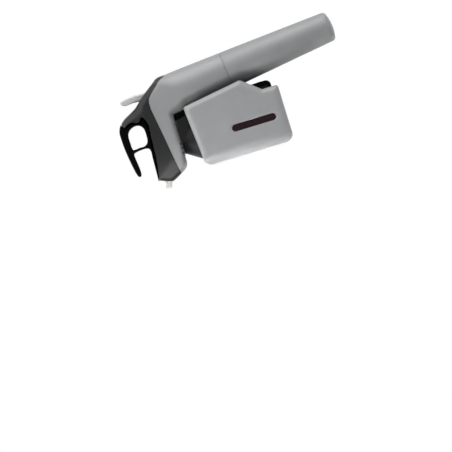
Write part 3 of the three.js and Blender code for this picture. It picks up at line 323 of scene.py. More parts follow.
def finish(name, colour, roughness, grain, depth, shade=0.06, rough_swing=0.06, metallic=0.0,
           stretch=(1, 1, 1), ior=1.5, gloss=0.5):
    """A finish whose colour clouds slowly, whose roughness varies and whose surface has a fine grain.
    grain is the grain's size and depth its height, both in millimetres."""
    material = bpy.data.materials.new(name)
    tree = bare_tree(material)
    place = add(tree, "ShaderNodeTexCoord").outputs["Object"]
    place = add(tree, "ShaderNodeMapping", {"Vector": place, "Scale": stretch}).outputs["Vector"]
    slow = add(tree, "ShaderNodeTexNoise", {"Vector": place, "Scale": 1 / (CLOUD * MM), "Detail": 3.0})
    fine = add(tree, "ShaderNodeTexNoise", {"Vector": place, "Scale": 1 / (grain * MM), "Detail": 2.0})
    base = linear(colour)
    tint = add(tree, "ShaderNodeValToRGB", {"Fac": slow.outputs["Fac"]})
    for element, place_at, factor in zip(tint.color_ramp.elements, RAMP, (1 - shade, 1 + shade)):
        element.position = place_at
        element.color = [min(v * factor, 1.0) for v in base[:3]] + [1.0]
    rough = add(tree, "ShaderNodeMapRange", {
        "Value": fine.outputs["Fac"], "From Min": RAMP[0], "From Max": RAMP[1],
        "To Min": roughness - rough_swing, "To Max": roughness + rough_swing,
    })
    bump = add(tree, "ShaderNodeBump", {
        "Height": fine.outputs["Fac"], "Distance": depth * MM, "Strength": 1.0,
    })
    shader = add(tree, "ShaderNodeBsdfPrincipled", {
        "Base Color": tint.outputs["Color"], "Roughness": rough.outputs["Result"],
        "Normal": bump.outputs["Normal"], "Metallic": metallic, "IOR": ior, "Specular IOR Level": gloss,
    })
    add(tree, "ShaderNodeOutputMaterial", {"Surface": shader.outputs["BSDF"]})
    return material


# Outlines


# How far apart a filling grid's rows are and how far it keeps from an edge, as shares of its step
ROW_SHARE = 0.866
CLEAR_SHARE = 0.6


def smooth(points, step=0.7, closed=True):
    """A smooth outline through points; a point with a third value is a sharp corner."""
    places = [np.array(p[:2], float) for p in points]
    sharp = [len(p) > 2 for p in points]
    count = len(points)
    out = []
    for i in range(count if closed else count - 1):
        j = (i + 1) % count
        a, b = places[i], places[j]
        before = a - (b - a) if sharp[i] or (not closed and i == 0) else places[i - 1]
        after = b + (b - a) if sharp[j] or (not closed and j == count - 1) else places[(j + 1) % count]
        knots = np.cumsum([0.0] + [max(np.linalg.norm(q - p), 1e-6) ** 0.5 for p, q in
                                   ((before, a), (a, b), (b, after))])
        parts = max(1, round(float(np.linalg.norm(b - a)) / step))
        for k in range(parts):
            t = knots[1] + (knots[2] - knots[1]) * k / parts
            out.append(catmull([before, a, b, after], knots, t))
    if not closed:
        out.append(places[-1])
    return np.array(out)


def catmull(p, knots, t):
    """A point of the centripetal curve through four points."""

    def between(a, b, low, high):
        return a * (high - t) / (high - low) + b * (t - low) / (high - low)

    first = [between(p[i], p[i + 1], knots[i], knots[i + 1]) for i in range(3)]
    second = [between(first[i], first[i + 1], knots[i], knots[i + 2]) for i in range(2)]
    return between(second[0], second[1], knots[1], knots[2])


def filleted(corners, step=0.7, turn=8):
    """A straight-sided outline whose corners have their own radii."""
    out = []
    count = len(corners)
    for i, (x, z, radius) in enumerate(corners):
        here = np.array([x, z])
        into = here - np.array(corners[i - 1][:2])
        onward = np.array(corners[(i + 1) % count][:2]) - here
        into /= np.linalg.norm(into)
        onward /= np.linalg.norm(onward)
        angle = math.acos(np.clip(np.dot(into, onward), -1, 1))
        reach = radius * math.tan(angle / 2)
        side = np.sign(into[0] * onward[1] - into[1] * onward[0])
        centre = here - into * reach + side * radius * np.array([-into[1], into[0]])
        start = here - into * reach - centre
        for k in range(turn + 1):
            a = side * angle * k / turn
            cosine, sine = math.cos(a), math.sin(a)
            spun = [start[0] * cosine - start[1] * sine, start[0] * sine + start[1] * cosine]
            out.append(centre + np.array(spun))
    return resampled(np.array(out), step)


def resampled(points, step):
    """The same outline with no side longer than the step."""
    out = []
    for a, b in zip(points, np.roll(points, -1, axis=0)):
        parts = max(1, math.ceil(float(np.linalg.norm(b - a)) / step))
        out += [a + (b - a) * k / parts for k in range(parts)]
    return np.array(out)


def area(points):
    """The area of an outline, below zero where it runs clockwise."""
    x, z = points[:, 0], points[:, 1]
    return 0.5 * float(np.sum(x * np.roll(z, -1) - np.roll(x, -1) * z))


def counter_clockwise(points):
    return points if area(points) > 0 else points[::-1]


def distance(points, outlines):
    """Distance of each point to the nearest outline."""
    best = np.full(len(points), 1e9)
    for line in outlines:
        a = line
        along = np.roll(line, -1, axis=0) - a
        length = np.maximum((along ** 2).sum(1), 1e-12)
        for low in range(0, len(points), 2000):
            part = points[low : low + 2000, None, :] - a[None]
            share = np.clip((part * along[None]).sum(2) / length[None], 0, 1)
            gap = np.sqrt(((part - share[..., None] * along[None]) ** 2).sum(2)).min(1)
            best[low : low + 2000] = np.minimum(best[low : low + 2000], gap)
    return best


def inside(points, line):
    """Which points lie inside an outline."""
    x, z = points[:, 0][:, None], points[:, 1][:, None]
    a, b = line, np.roll(line, -1, axis=0)
    crosses = (a[:, 1] > z) != (b[:, 1] > z)
    rise = np.where(b[:, 1] == a[:, 1], 1e-12, b[:, 1] - a[:, 1])
    at = (b[:, 0] - a[:, 0]) * (z - a[:, 1]) / rise + a[:, 0]
    return (np.sum(crosses & (x < at), axis=1) % 2) == 1


def tube_place(x, z):
    """Height t up the tube's axis and distance e across it, of places seen from the side."""
    dx, dz = x - TUBE_X, z - SEAM_Z
    return -dx * math.sin(LEAN) + dz * math.cos(LEAN), dx * math.cos(LEAN) + dz * math.sin(LEAN)


def on_tube(t, e=0.0):
    """The place seen from the side of a height t and a distance e."""
    return (
        TUBE_X - t * math.sin(LEAN) + e * math.cos(LEAN),
        SEAM_Z + t * math.cos(LEAN) + e * math.sin(LEAN),
    )


# Meshes


# Degrees between two faces from which the edge is sharp
SHARP = 32


def fresh(name, verts, faces):
    """A mesh in metres from places in millimetres."""
    mesh = bpy.data.meshes.new(name)
    mesh.from_pydata([(x * MM, y * MM, z * MM) for x, y, z in verts], [], faces)
    return mesh


def outward(mesh):
    """Closes up doubles and turns every face outwards."""
    work = bmesh.new()
    work.from_mesh(mesh)
    bmesh.ops.remove_doubles(work, verts=work.verts, dist=2e-6)
    bmesh.ops.recalc_face_normals(work, faces=work.faces)
    work.to_mesh(mesh)
    work.free()
    return mesh


def flat_net(outline, holes, step, rings, guide=None):
    """Points and triangles that fill an outline, closer together along its edge, or inside a guide line."""
    lines = [counter_clockwise(outline)] + [counter_clockwise(h)[::-1] for h in holes]
    edge_points = np.concatenate(lines)
    edges, start = [], 0
    for line in lines:
        edges += [(start + i, start + (i + 1) % len(line)) for i in range(len(line))]
        start += len(line)
    followed = lines if guide is None else [counter_clockwise(guide)]
    extra = [] if guide is None else [followed[0]]
    for depth in rings:
        for line in followed:
            along = np.roll(line, -1, axis=0) - np.roll(line, 1, axis=0)
            along /= np.linalg.norm(along, axis=1)[:, None]
            ring = line + depth * np.stack([-along[:, 1], along[:, 0]], 1)
            keep = (distance(ring, followed) > 0.97 * depth) & inside(ring, lines[0])
            extra.append(ring[keep])
    low, high = lines[0].min(0), lines[0].max(0)
    rows = np.arange(low[1], high[1], step * ROW_SHARE)
    grid = np.array([
        (x + (step / 2 if k % 2 else 0), z)
        for k, z in enumerate(rows) for x in np.arange(low[0], high[0], step)
    ])
    clear = CLEAR_SHARE * step
    last = (rings[-1] if len(rings) else 0) + clear
    ok = inside(grid, lines[0]) & (distance(grid, followed) > last) & (distance(grid, lines) > clear)
    for hole in lines[1:]:
        ok &= ~inside(grid, hole)
    points = np.concatenate([edge_points] + extra + [grid[ok]])
    found = delaunay_2d_cdt([Vector(p) for p in points], edges, [], 1, 1e-5)
    net = np.array([(p.x, p.y) for p in found[0]])
    sources = {}
    for new, olds in enumerate(found[3]):
        for old in olds:
            sources[old] = new
    triangles = np.array([t for t in found[2] if len(t) == 3])
    middle = net[triangles].mean(1)
    keep = np.ones(len(triangles), bool)
    for hole in lines[1:]:
        keep &= ~inside(middle, hole)
    borders, start = [], 0
    for line in lines:
        borders.append([sources[start + i] for i in range(len(line))])
        start += len(line)
    return net, triangles[keep], borders, lines


def relief(name, outline, half_width, holes=(), step=1.2, rings=(), middle=0.0, flat_low=None, guide=None):
    """A closed form seen from the side as an outline, as wide on each side as half_width says.
    With flat_low its lower side is a plane at that y instead."""
    net, triangles, borders, lines = flat_net(outline, list(holes), step, rings, guide)
    depth = distance(net, lines)
    on_edge = np.zeros(len(net), bool)
    for border in borders:
        on_edge[border] = True
    depth[on_edge] = 0
    wide = half_width(net[:, 0], net[:, 1], depth)
    count = len(net)
    low = middle - wide if flat_low is None else np.full(count, flat_low)
    verts = [(x, y, z) for (x, z), y in zip(net, middle + wide)] + [(x, y, z) for (x, z), y in zip(net, low)]
    faces = [(a, c, b) for a, b, c in triangles]
    faces += [(a + count, b + count, c + count) for a, b, c in triangles]
    for border in borders:
        for a, b in zip(border, border[1:] + border[:1]):
            faces.append((a, b, b + count, a + count))
    mesh = fresh(name, verts, [tuple(int(i) for i in f) for f in faces])
    return outward(mesh)


def prism(name, points, low, high):
    """An outline in x and z, as a block from y low to y high."""
    count = len(points)
    verts = [(x, low, z) for x, z in points] + [(x, high, z) for x, z in points]
    faces = [tuple(range(count)), tuple(range(2 * count - 1, count - 1, -1))]
    faces += [(i, (i + 1) % count, (i + 1) % count + count, i + count) for i in range(count)]
    return outward(fresh(name, verts, faces))


def block(name, x0, x1, y0, y1, z0, z1):
    return prism(name, [(x0, z0), (x1, z0), (x1, z1), (x0, z1)], y0, y1)


def turned(name, profile, sides=96, place=None):
    """A profile of radius and height turned round the z axis, then placed by a matrix in millimetres."""
    verts, faces, rows = [], [], []
    for radius, height in profile:
        if radius < 1e-6:
            rows.append([len(verts)])
            verts.append(Vector((0, 0, height)))
            continue
        rows.append(list(range(len(verts), len(verts) + sides)))
        for k in range(sides):
            angle = 2 * math.pi * k / sides
            verts.append(Vector((radius * math.cos(angle), radius * math.sin(angle), height)))
    pairs = list(zip(rows, rows[1:]))
    if len(rows[0]) > 1:
        pairs.append((rows[-1], rows[0]))
    for a, b in pairs:
        for k in range(sides):
            n = (k + 1) % sides
            face = [a[k % len(a)], a[n % len(a)], b[n % len(b)], b[k % len(b)]]
            face = list(dict.fromkeys(face))
            if len(face) > 2:
                faces.append(tuple(face))
    if place is not None:
        verts = [place @ v for v in verts]
    return outward(fresh(name, [tuple(v) for v in verts], faces))


def rod(name, radius, low, high, place=None, sides=48):
    return turned(name, [(0, low), (radius, low), (radius, high), (0, high)], sides, place)


def cross_rod(name, radius, place, half, sides=48):
    return rod(name, radius, -half, half, tipped(*place, axis="X"), sides)


def quarter(count):
    """Angles of a quarter turn in equal steps."""
    return [math.pi / 2 * k / count for k in range(count + 1)]


def whole(mesh):
    """The mesh itself, if it is closed: the boolean leaves a form alone without a word where one is open."""
    work = bmesh.new()
    work.from_mesh(mesh)
    gaps = sum(not edge.is_manifold for edge in work.edges)
    work.free()
    if gaps:
        raise RuntimeError(f"{mesh.name} has {gaps} open edges")
    return mesh


def combined(mesh, operation, *tools):
    """A mesh after it is joined with, cut by or kept within others, by Blender's boolean modifier."""
    for part in (mesh, *tools):
        whole(part)
    base = put("work", mesh)
    others = [put("tool", tool) for tool in tools]
    for other in others:
        modifier = base.modifiers.new("cut", "BOOLEAN")
        modifier.operation = operation
        modifier.solver = "MANIFOLD"
        modifier.object = other
    bpy.context.view_layer.update()
    graph = bpy.context.evaluated_depsgraph_get()
    result = bpy.data.meshes.new_from_object(base.evaluated_get(graph))
    if len(result.polygons) == 0:
        raise RuntimeError(f"{mesh.name} is empty after {operation}")
    for thing in [base] + others:
        bpy.data.objects.remove(thing)
    return result


def cut(mesh, *tools):
    return combined(mesh, "DIFFERENCE", *tools)


def joined(mesh, *tools):
    return combined(mesh, "UNION", *tools)


def common(mesh, *tools):
    return combined(mesh, "INTERSECT", *tools)


def mirrored(mesh, name):
    """The same mesh on the other side of y = 0."""
    twin = mesh.copy()
    twin.name = name
    twin.transform(Matrix.Scale(-1, 4, (0, 1, 0)))
    return outward(twin)


def shown(name, mesh, look, body, slot, *nodes, angle=SHARP, bevel=0.0):
    """Shows a mesh as a piece that rides on a body and stands for CAD nodes."""
    mesh.name = name
    mesh.materials.clear()
    mesh.materials.append(FINISH[look])
    for face in mesh.polygons:
        face.use_smooth = True
        face.material_index = 0
    mesh.set_sharp_from_angle(angle=math.radians(angle))
    piece = put(name, mesh)
    if bevel:
        modifier = piece.modifiers.new("edge", "BEVEL")
        modifier.width = bevel * MM
        modifier.segments = 3
        modifier.limit_method = "ANGLE"
        modifier.angle_limit = math.radians(SHARP)
        modifier.use_clamp_overlap = True
        modifier.harden_normals = True
    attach(piece, body)
    if nodes:
        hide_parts(*nodes)
    return piece


def shown_pair(name, mesh, look, slot, node=None, bodies=("jaw_left", "jaw_right"), **how):
    """Shows the mirror image of a right-hand mesh on the left, and then the mesh itself."""
    for side, body, form in zip(("left", "right"), bodies, (mirrored(mesh, name), mesh)):
        shown(f"{name}_{side}", form, look, body, slot, *([f"{node}_{side}"] if node else []), **how)


def merged_copy(node):
    """A CAD node's mesh with its doubles merged and its flats in one face each."""
    mesh = frame["nodes"][node].data.copy()
    work = bmesh.new()
    work.from_mesh(mesh)
    bmesh.ops.remove_doubles(work, verts=work.verts, dist=1e-6)
    bmesh.ops.dissolve_limit(
        work, angle_limit=math.radians(0.5), verts=work.verts, edges=work.edges,
        use_dissolve_boundaries=False,
    )
    work.to_mesh(mesh)
    work.free()
    return mesh


def edge_drop(depth, radius):
    """How far a rounded edge has dropped at a distance from the outline."""
    left = np.clip(radius - depth, 0, None)
    return radius - np.sqrt(np.maximum(radius ** 2 - left ** 2, 0))


def ring_depths(radius, count):
    """How far inside an outline lie the steps of a rounded edge."""
    return [radius * (1 - math.cos(a)) for a in quarter(count)[1:]]


def mixed_depths(small, large, skip):
    """Ring depths for a small and a large rounding of one edge, without the large one's first few."""
    return sorted(ring_depths(*small) + ring_depths(*large)[skip:])


def blend_step(value, low, high):
    """0 up to the low value, 1 from the high one, and a soft change between them."""
    share = np.clip((value - low) / (high - low), 0, 1)
    return share * share * (3 - 2 * share)


# What repeats or winds, made with Geometry Nodes


def growing_tree(name, sizes):
    """A Geometry Nodes tree that grows one shape on every point of a mesh. It returns the tree, its input
    node and a function that ends it: the shape, in millimetres, is put on the points, made real and given
    its material."""
    tree = bpy.data.node_groups.new(name, "GeometryNodeTree")
    tree.is_modifier = True
    tree.interface.new_socket("Places", in_out="INPUT", socket_type="NodeSocketGeometry")
    for size in sizes:
        tree.interface.new_socket(size, in_out="INPUT", socket_type="NodeSocketFloat")
    tree.interface.new_socket("Finish", in_out="INPUT", socket_type="NodeSocketMaterial")
    tree.interface.new_socket("Pieces", in_out="OUTPUT", socket_type="NodeSocketGeometry")
    given = add(tree, "NodeGroupInput")

    def end(shape):
        on_points = add(tree, "GeometryNodeInstanceOnPoints", {
            "Points": add(tree, "GeometryNodeMeshToPoints", {"Mesh": given.outputs["Places"]}).outputs[0],
            "Instance": shape, "Scale": (MM, MM, MM),
        })
        real = add(tree, "GeometryNodeRealizeInstances", {0: on_points.outputs[0]})
        dressed = add(tree, "GeometryNodeSetMaterial", {
            "Geometry": real.outputs[0], "Material": given.outputs["Finish"],
        })
        add(tree, "NodeGroupOutput", {0: dressed.outputs[0]})

    return tree, given, end


def grown(name, tree, places, look, **sizes):
    """The mesh that a growing tree makes on places in millimetres, with its inputs by name."""
    base = put(name, fresh(name, places, []))
    modifier = base.modifiers.new(name, "NODES")
    modifier.node_group = tree
    for socket in tree.interface.items_tree:
        if socket.in_out != "INPUT" or socket.socket_type == "NodeSocketGeometry":
            continue
        key = socket.name.lower().replace(" ", "_")
        modifier[socket.identifier] = FINISH[look] if key == "finish" else float(sizes[key])
    bpy.context.view_layer.update()
    graph = bpy.context.evaluated_depsgraph_get()
    mesh = bpy.data.meshes.new_from_object(base.evaluated_get(graph))
    base.modifiers.remove(modifier)
    bpy.data.objects.remove(base)
    if len(mesh.polygons) == 0:
        raise RuntimeError(f"{name} grew nothing")
    return outward(mesh)


def gathered(name, *meshes):
    """Several meshes as one."""
    work = bmesh.new()
    for mesh in meshes:
        work.from_mesh(mesh)
    result = bpy.data.meshes.new(name)
    work.to_mesh(result)
    work.free()
    return result


def screw_tree():
    """Cross-recessed screws that stand on their heads: a tapered head, a shank and the driver's cross."""
    tree, given, end = growing_tree("cross recessed screws", [
        "Head radius", "Head thick", "Shank radius", "Shank length", "Recess width", "Recess depth",
    ])
    size = given.outputs
    foot = add(tree, "ShaderNodeMath", {0: size["Head radius"], 1: 0.88}, operation="MULTIPLY")
    head = add(tree, "GeometryNodeMeshCone", {
        "Vertices": 40, "Radius Bottom": foot.outputs[0], "Radius Top": size["Head radius"],
        "Depth": size["Head thick"],
    })
    reach = add(tree, "ShaderNodeMath", {0: size["Head radius"], 1: 1.15}, operation="MULTIPLY")
    deep = add(tree, "ShaderNodeMath", {0: size["Recess depth"], 1: 2.0}, operation="MULTIPLY")
    recess = add(tree, "ShaderNodeCombineXYZ", {
        "X": reach.outputs[0], "Y": size["Recess width"], "Z": deep.outputs[0],
    })
    bar = add(tree, "GeometryNodeMeshCube", {"Size": recess.outputs[0]}).outputs["Mesh"]
    across = add(tree, "GeometryNodeTransform", {"Geometry": bar, "Rotation": (0, 0, math.pi / 2)})
    crossed = head.outputs["Mesh"]
    for shape in (bar, across.outputs[0]):
        crossed = add(tree, "GeometryNodeMeshBoolean", {"Mesh 1": crossed, "Mesh 2": shape},
                      operation="DIFFERENCE", solver="EXACT").outputs["Mesh"]
    shank = add(tree, "GeometryNodeMeshCylinder", {
        "Vertices": 24, "Radius": size["Shank radius"], "Depth": size["Shank length"],
    })
    half = add(tree, "ShaderNodeMath", {0: size["Shank length"], 1: 0.5}, operation="MULTIPLY")
    lift = add(tree, "ShaderNodeMath", {0: half.outputs[0], 1: size["Head thick"]}, operation="ADD")
    raised = add(tree, "GeometryNodeTransform", {
        "Geometry": shank.outputs["Mesh"],
        "Translation": add(tree, "ShaderNodeCombineXYZ", {"Z": lift.outputs[0]}).outputs[0],
    })
    both = add(tree, "GeometryNodeJoinGeometry")
    for shape in (crossed, raised.outputs[0]):
        tree.links.new(shape, both.inputs["Geometry"])
    end(both.outputs[0])
    return tree


def spring_tree():
    """Torsion springs: wire wound round the z axis, with a straight leg at each end."""
    tree, given, end = growing_tree("wound torsion springs", [
        "Coil radius", "Coil height", "Turns", "Wire radius", "Low leg", "High leg",
    ])
    size = given.outputs
    wound = add(tree, "GeometryNodeCurveSpiral", {
        "Resolution": 28, "Rotations": size["Turns"], "Start Radius": size["Coil radius"],
        "End Radius": size["Coil radius"], "Height": size["Coil height"],
    })
    low_end = add(tree, "ShaderNodeMath", {0: size["Low leg"], 1: -1.0}, operation="MULTIPLY").outputs[0]
    high = size["Coil height"]
    curves = [wound.outputs["Curve"]]
    for leg in (((low_end, 0.0), (0.0, 0.0)), ((0.0, high), (size["High leg"], high))):
        start, stop = (
            add(tree, "ShaderNodeCombineXYZ", {"X": size["Coil radius"], "Y": y, "Z": z}).outputs[0]
            for y, z in leg
        )
        line = add(tree, "GeometryNodeCurvePrimitiveLine", {"Start": start, "End": stop})
        curves.append(line.outputs["Curve"])
    wires = add(tree, "GeometryNodeJoinGeometry")
    for curve in curves:
        tree.links.new(curve, wires.inputs["Geometry"])
    section = add(tree, "GeometryNodeCurvePrimitiveCircle", {
        "Resolution": 12, "Radius": size["Wire radius"],
    })
    end(add(tree, "GeometryNodeCurveToMesh", {
        "Curve": wires.outputs[0], "Profile Curve": section.outputs["Curve"], "Fill Caps": True,
    }).outputs["Mesh"])
    return tree


def rib_tree():
    """Grip ribs: a round bead along an arc, one at every place."""
    tree, given, end = growing_tree("moulded grip ribs", [
        "Arc radius", "Start degrees", "Sweep degrees", "Rib radius",
    ])
    size = given.outputs
    start, sweep = (
        add(tree, "ShaderNodeMath", {0: size[angle]}, operation="RADIANS").outputs[0]
        for angle in ("Start degrees", "Sweep degrees")
    )
    arc = add(tree, "GeometryNodeCurveArc", {
        "Resolution": 40, "Radius": size["Arc radius"], "Start Angle": start, "Sweep Angle": sweep,
    }, mode="RADIUS")
    section = add(tree, "GeometryNodeCurvePrimitiveCircle", {
        "Resolution": 10, "Radius": size["Rib radius"],
    })
    end(add(tree, "GeometryNodeCurveToMesh", {
        "Curve": arc.outputs["Curve"], "Profile Curve": section.outputs["Curve"], "Fill Caps": True,
    }).outputs["Mesh"])
    return tree


# Forms that more than one piece shares


# A distance across the view that is past every piece
BEYOND = 40


def head_outline():
    """The head from the side; the sleeve runs on below the seam, where the parting side cuts it."""
    radius = (SEAM_RADIUS, (SEAM_RADIUS + SLEEVE_RADIUS) / 2, SLEEVE_RADIUS, SLEEVE_RADIUS)
    front = [(t, -r) for t, r in zip((0, BORE_TOP / 2, BORE_TOP, 52), radius)]
    back = [(t, r) for t, r in zip((BORE_TOP, BORE_TOP / 2, 0), radius[2::-1])]
    low_front = [(*on_tube(-24, -SEAM_RADIUS), 1)] + [on_tube(t, e) for t, e in front]
    low_back = [on_tube(t, e) for t, e in back] + [(*on_tube(-24, SEAM_RADIUS), 1)]
    return smooth(low_front + HEAD_OUTLINE + low_back, 0.8)


def arm_half(x, z):
    """Half width of the arm, which a shallow facet draws in further towards the nose."""
    arm = ARM_HALF - NOSE_DRAW * np.clip((ARM_BACK - x) / NOSE_REACH, 0, 1.1) ** NOSE_CURVE
    past = (x - NOSE_CREASE[0]) * NOSE_FACING[0] + (z - NOSE_CREASE[1]) * NOSE_FACING[1]
    facet = NOSE_SLOPE * (past + np.sqrt(past ** 2 + 1)) / 2
    return np.minimum(arm, np.interp(z, *zip(*VISOR))) - facet


def there_and_back(line):
    """An open line as an outline without area, for the distance to it."""
    return np.concatenate([line, line[-2:0:-1]])


def head_half(x, z, depth):
    """Half width of the head: round on the tube, and flat sided with rounded edges on the arm and the arch.
    Its edge stays crisp where the hook handle sits flush on it."""
    places = np.stack([x, z], 1)
    first, last = HOOK_SIDE

    def near(points, step):
        return distance(places, [there_and_back(smooth(points, step, closed=False))])

    seat = near(HEAD_OUTLINE[first:last], 0.8)
    free = np.minimum(near(HEAD_OUTLINE[last - 1:], 1.2), near(HEAD_OUTLINE[:first + 1], 1.2))
    t, _ = tube_place(x, z)
    upper = z > ARCH_LOW
    depth = np.where(upper, free * (free > 1e-3), depth)
    sleeve = SEAM_RADIUS + (SLEEVE_RADIUS - SEAM_RADIUS) * np.clip(t / BORE_TOP, 0, 1)
    round_share = 1 - blend_step(t, *ROUND_FADE)
    soft = chosen("head_edge")
    edge = np.interp(x, HEAD_EDGE_PLACES, [soft * share for share in HEAD_EDGE_SHARES])
    edge = np.where(z < LOW_EDGE_TOP, LOW_EDGE, edge)
    radius = edge + (sleeve - edge) * round_share
    wide = arm_half(x, z)
    wide = wide + (sleeve - wide) * round_share
    drop = np.maximum(edge_drop(depth, radius), np.where(upper, edge_drop(seat, SEAT_EDGE), 0))
    return np.maximum(wide - drop, 0.25)


def hollow_half(x, z, depth):
    """Half width of the room inside the head: the tube's bore, and the arm less its wall."""
    _, e = tube_place(x, z)
    bore = np.sqrt(np.maximum(SLEEVE_BORE ** 2 - e ** 2, 0.5))
    arm = np.where((z > HOLLOW_FLOOR) & (x < TUBE_X), arm_half(x, z) - HEAD_WALL, 0)
    return np.maximum(bore, arm)


def head_form():
    rings = mixed_depths((SMALL_ROUND, 5), (LARGE_ROUND, 9), 2)
    return relief("head form", head_outline(), head_half, step=1.5, rings=rings)


def parting_side(name, above):
    """Everything above or below the parting line between shell and cover, less half the gap."""
    lift = SEAT_GAP / 2 if above else -SEAT_GAP / 2
    line = [(x, z + lift) for x, z in PARTING]
    far = [(-60, 95), (95, 95)] if above else [on_tube(0, -110), on_tube(0, 38)]
    return prism(name, line + far, -BEYOND, BEYOND)


def stadium(half, grow=0.0, longer=0.0, sides=24):
    """The sight window's outline, upright in x and z."""
    reach = half + grow
    ends = []
    high, low = WINDOW_HIGH - WINDOW_HALF + longer, WINDOW_LOW + WINDOW_HALF - longer
    for middle, start in ((high, 0), (low, math.pi)):
        for k in range(sides + 1):
            a = start + math.pi * k / sides
            ends.append((WINDOW_X + reach * math.cos(a), middle + reach * math.sin(a)))
    return ends


def lofted(name, layers):
    """A block through outlines of equally many points, each at its own y."""
    count = len(layers[0][1])
    verts = [(x, y, z) for y, line in layers for x, z in line]
    faces = [tuple(range(count)), tuple(range(len(verts) - 1, len(verts) - count - 1, -1))]
    for k in range(len(layers) - 1):
        for i in range(count):
            j = (i + 1) % count
            faces.append((k * count + i, k * count + j, (k + 1) * count + j, (k + 1) * count + i))
    return outward(fresh(name, verts, faces))


def plate_half(line, inset):
    """Outer face of the right plate, lowered by an inset: bent round at the front and rolled in at its
    other edges."""
    roll = chosen("plate_roll")

    def height(x, z, depth):
        points = np.stack([x, z], 1)
        within = np.where(inside(points, line), distance(points, [line]), 0)
        bend = edge_drop(x + PLATE_FRONT - inset, PLATE_BEND - inset)
        share = blend_step(x, -PLATE_FRONT + 2, -PLATE_FRONT + PLATE_BEND + 6)
        rear = edge_drop(within, roll) * share + edge_drop(within, PLATE_FRONT_EDGE) * (1 - share)
        return PLATE_OUT - inset - np.hypot(bend, rear)

    return height


def plate_inner(line, extra):
    """The room behind the right plate."""
    front = -PLATE_FRONT + PLATE_THICK + extra
    outline = resampled(np.array([(front, 20), (50, 20), (50, -90), (front, -90)], float), 1.5)
    return relief("plate room", outline, plate_half(line, PLATE_THICK + extra), step=1.3,
                  flat_low=PLATE_GAP - 3, guide=line, rings=[0.06, 0.3, 0.8, 1.5, 2.5, 3.7, 5])


def seam_band(name, low, high, inset):
    """A band of the head's form along the parting line, set in from its outside."""
    line = [(x, z + high) for x, z in PARTING] + [(x, z + low) for x, z in PARTING[::-1]]

    def half(x, z, depth):
        return np.maximum(head_half(x, z, depth) - inset, 0.2)

    inner = relief("inner form", head_outline(), half, step=2.0,
                   rings=mixed_depths((SMALL_ROUND, 3), (LARGE_ROUND, 6), 2))
    return common(inner, prism(name, line, -BEYOND, BEYOND))


# Pieces


def make_head():
    """The shell with its rib, spigot and lip, and the cover that sits on the lip."""
    form = head_form()
    hollow = relief("hollow", resampled(np.array(HEAD_HOLLOW), 1.2), hollow_half, step=1.6)
    shell = joined(
        common(form, parting_side("below", False)), seam_band("lip", *LIP),
        turned("spigot", SPIGOT, 96, IN_TUBE), block("rib", *FLOOR_RIB),
    )
    shell = cut(
        shell, hollow, rod("bore", SLEEVE_BORE, -30, BORE_TOP, IN_TUBE, 96),
        prism("mast room", MAST_ROOM, -MAST_ROOM_HALF, MAST_ROOM_HALF),
        rod("neck", VALVE_NECK_HOLE, 40, 60, IN_TUBE),
        *[rod("collar hole", radius, FLOOR_LOW, top) for radius, top in (COLLAR_HOLE, COLLAR_SEAT)],
        cross_rod("pin hole", PIN_HOLE, LEVER_PIVOT, LEVER_PIN_HALF + SEAT_GAP),
        *[rod("screw seat", SCREW_SEAT_RADIUS, FLOOR_LOW, SCREW_SEAT_TOP, Matrix.Translation((x, y, 0)), 32)
          for x, y in COVER_SCREWS],
        *[block("notch", *ends, *sides, FLOOR_LOW, NOTCH_TOP)
          for ends in FLOOR_NOTCHES for sides in ((-20, -NOTCH_INNER), (NOTCH_INNER, 20))],
    )
    cover = cut(
        common(form, parting_side("above", True)), seam_band("lip room", *LIP_ROOM), hollow,
        prism("lever slot", LEVER_SLOT, -LEVER_SLOT_HALF, LEVER_SLOT_HALF),
        rod("spout hole", SPOUT_HOLE, SPOUT_ROOT, 10, IN_SPOUT),
    )
    shown("shell_casting", shell, "shell", "head", "grey_paint", "head_shell")
    shown("cover_moulding", cover, "cover", "head", "cover_plastic", "top_cover")


def make_hook():
    """The hook handle round its finger opening, with a tongue that sits in the cover."""
    radius = chosen("hook_edge")

    def half(x, z, depth):
        return np.interp(x, *zip(*HOOK_WIDTH)) - edge_drop(depth, radius)

    hook = relief("hook", smooth(HOOK_OUTLINE, 0.6), half, holes=[smooth(FINGER_HOLE, 0.6)], step=1.1,
                  rings=ring_depths(radius, 5))
    seam = smooth(HOOK_SEAM, 0.8, closed=False)
    slope = np.gradient(seam, axis=0)
    slope /= np.linalg.norm(slope, axis=1)[:, None]
    side = np.stack([-slope[:, 1], slope[:, 0]], 1) * TONGUE_REACH
    tongue = prism("tongue", list(seam + side) + list((seam - side)[::-1]), -TONGUE_HALF, TONGUE_HALF)
    shown("hook_moulding", joined(hook, tongue), "black", "head", "hook_plastic", "hook_handle", angle=50)


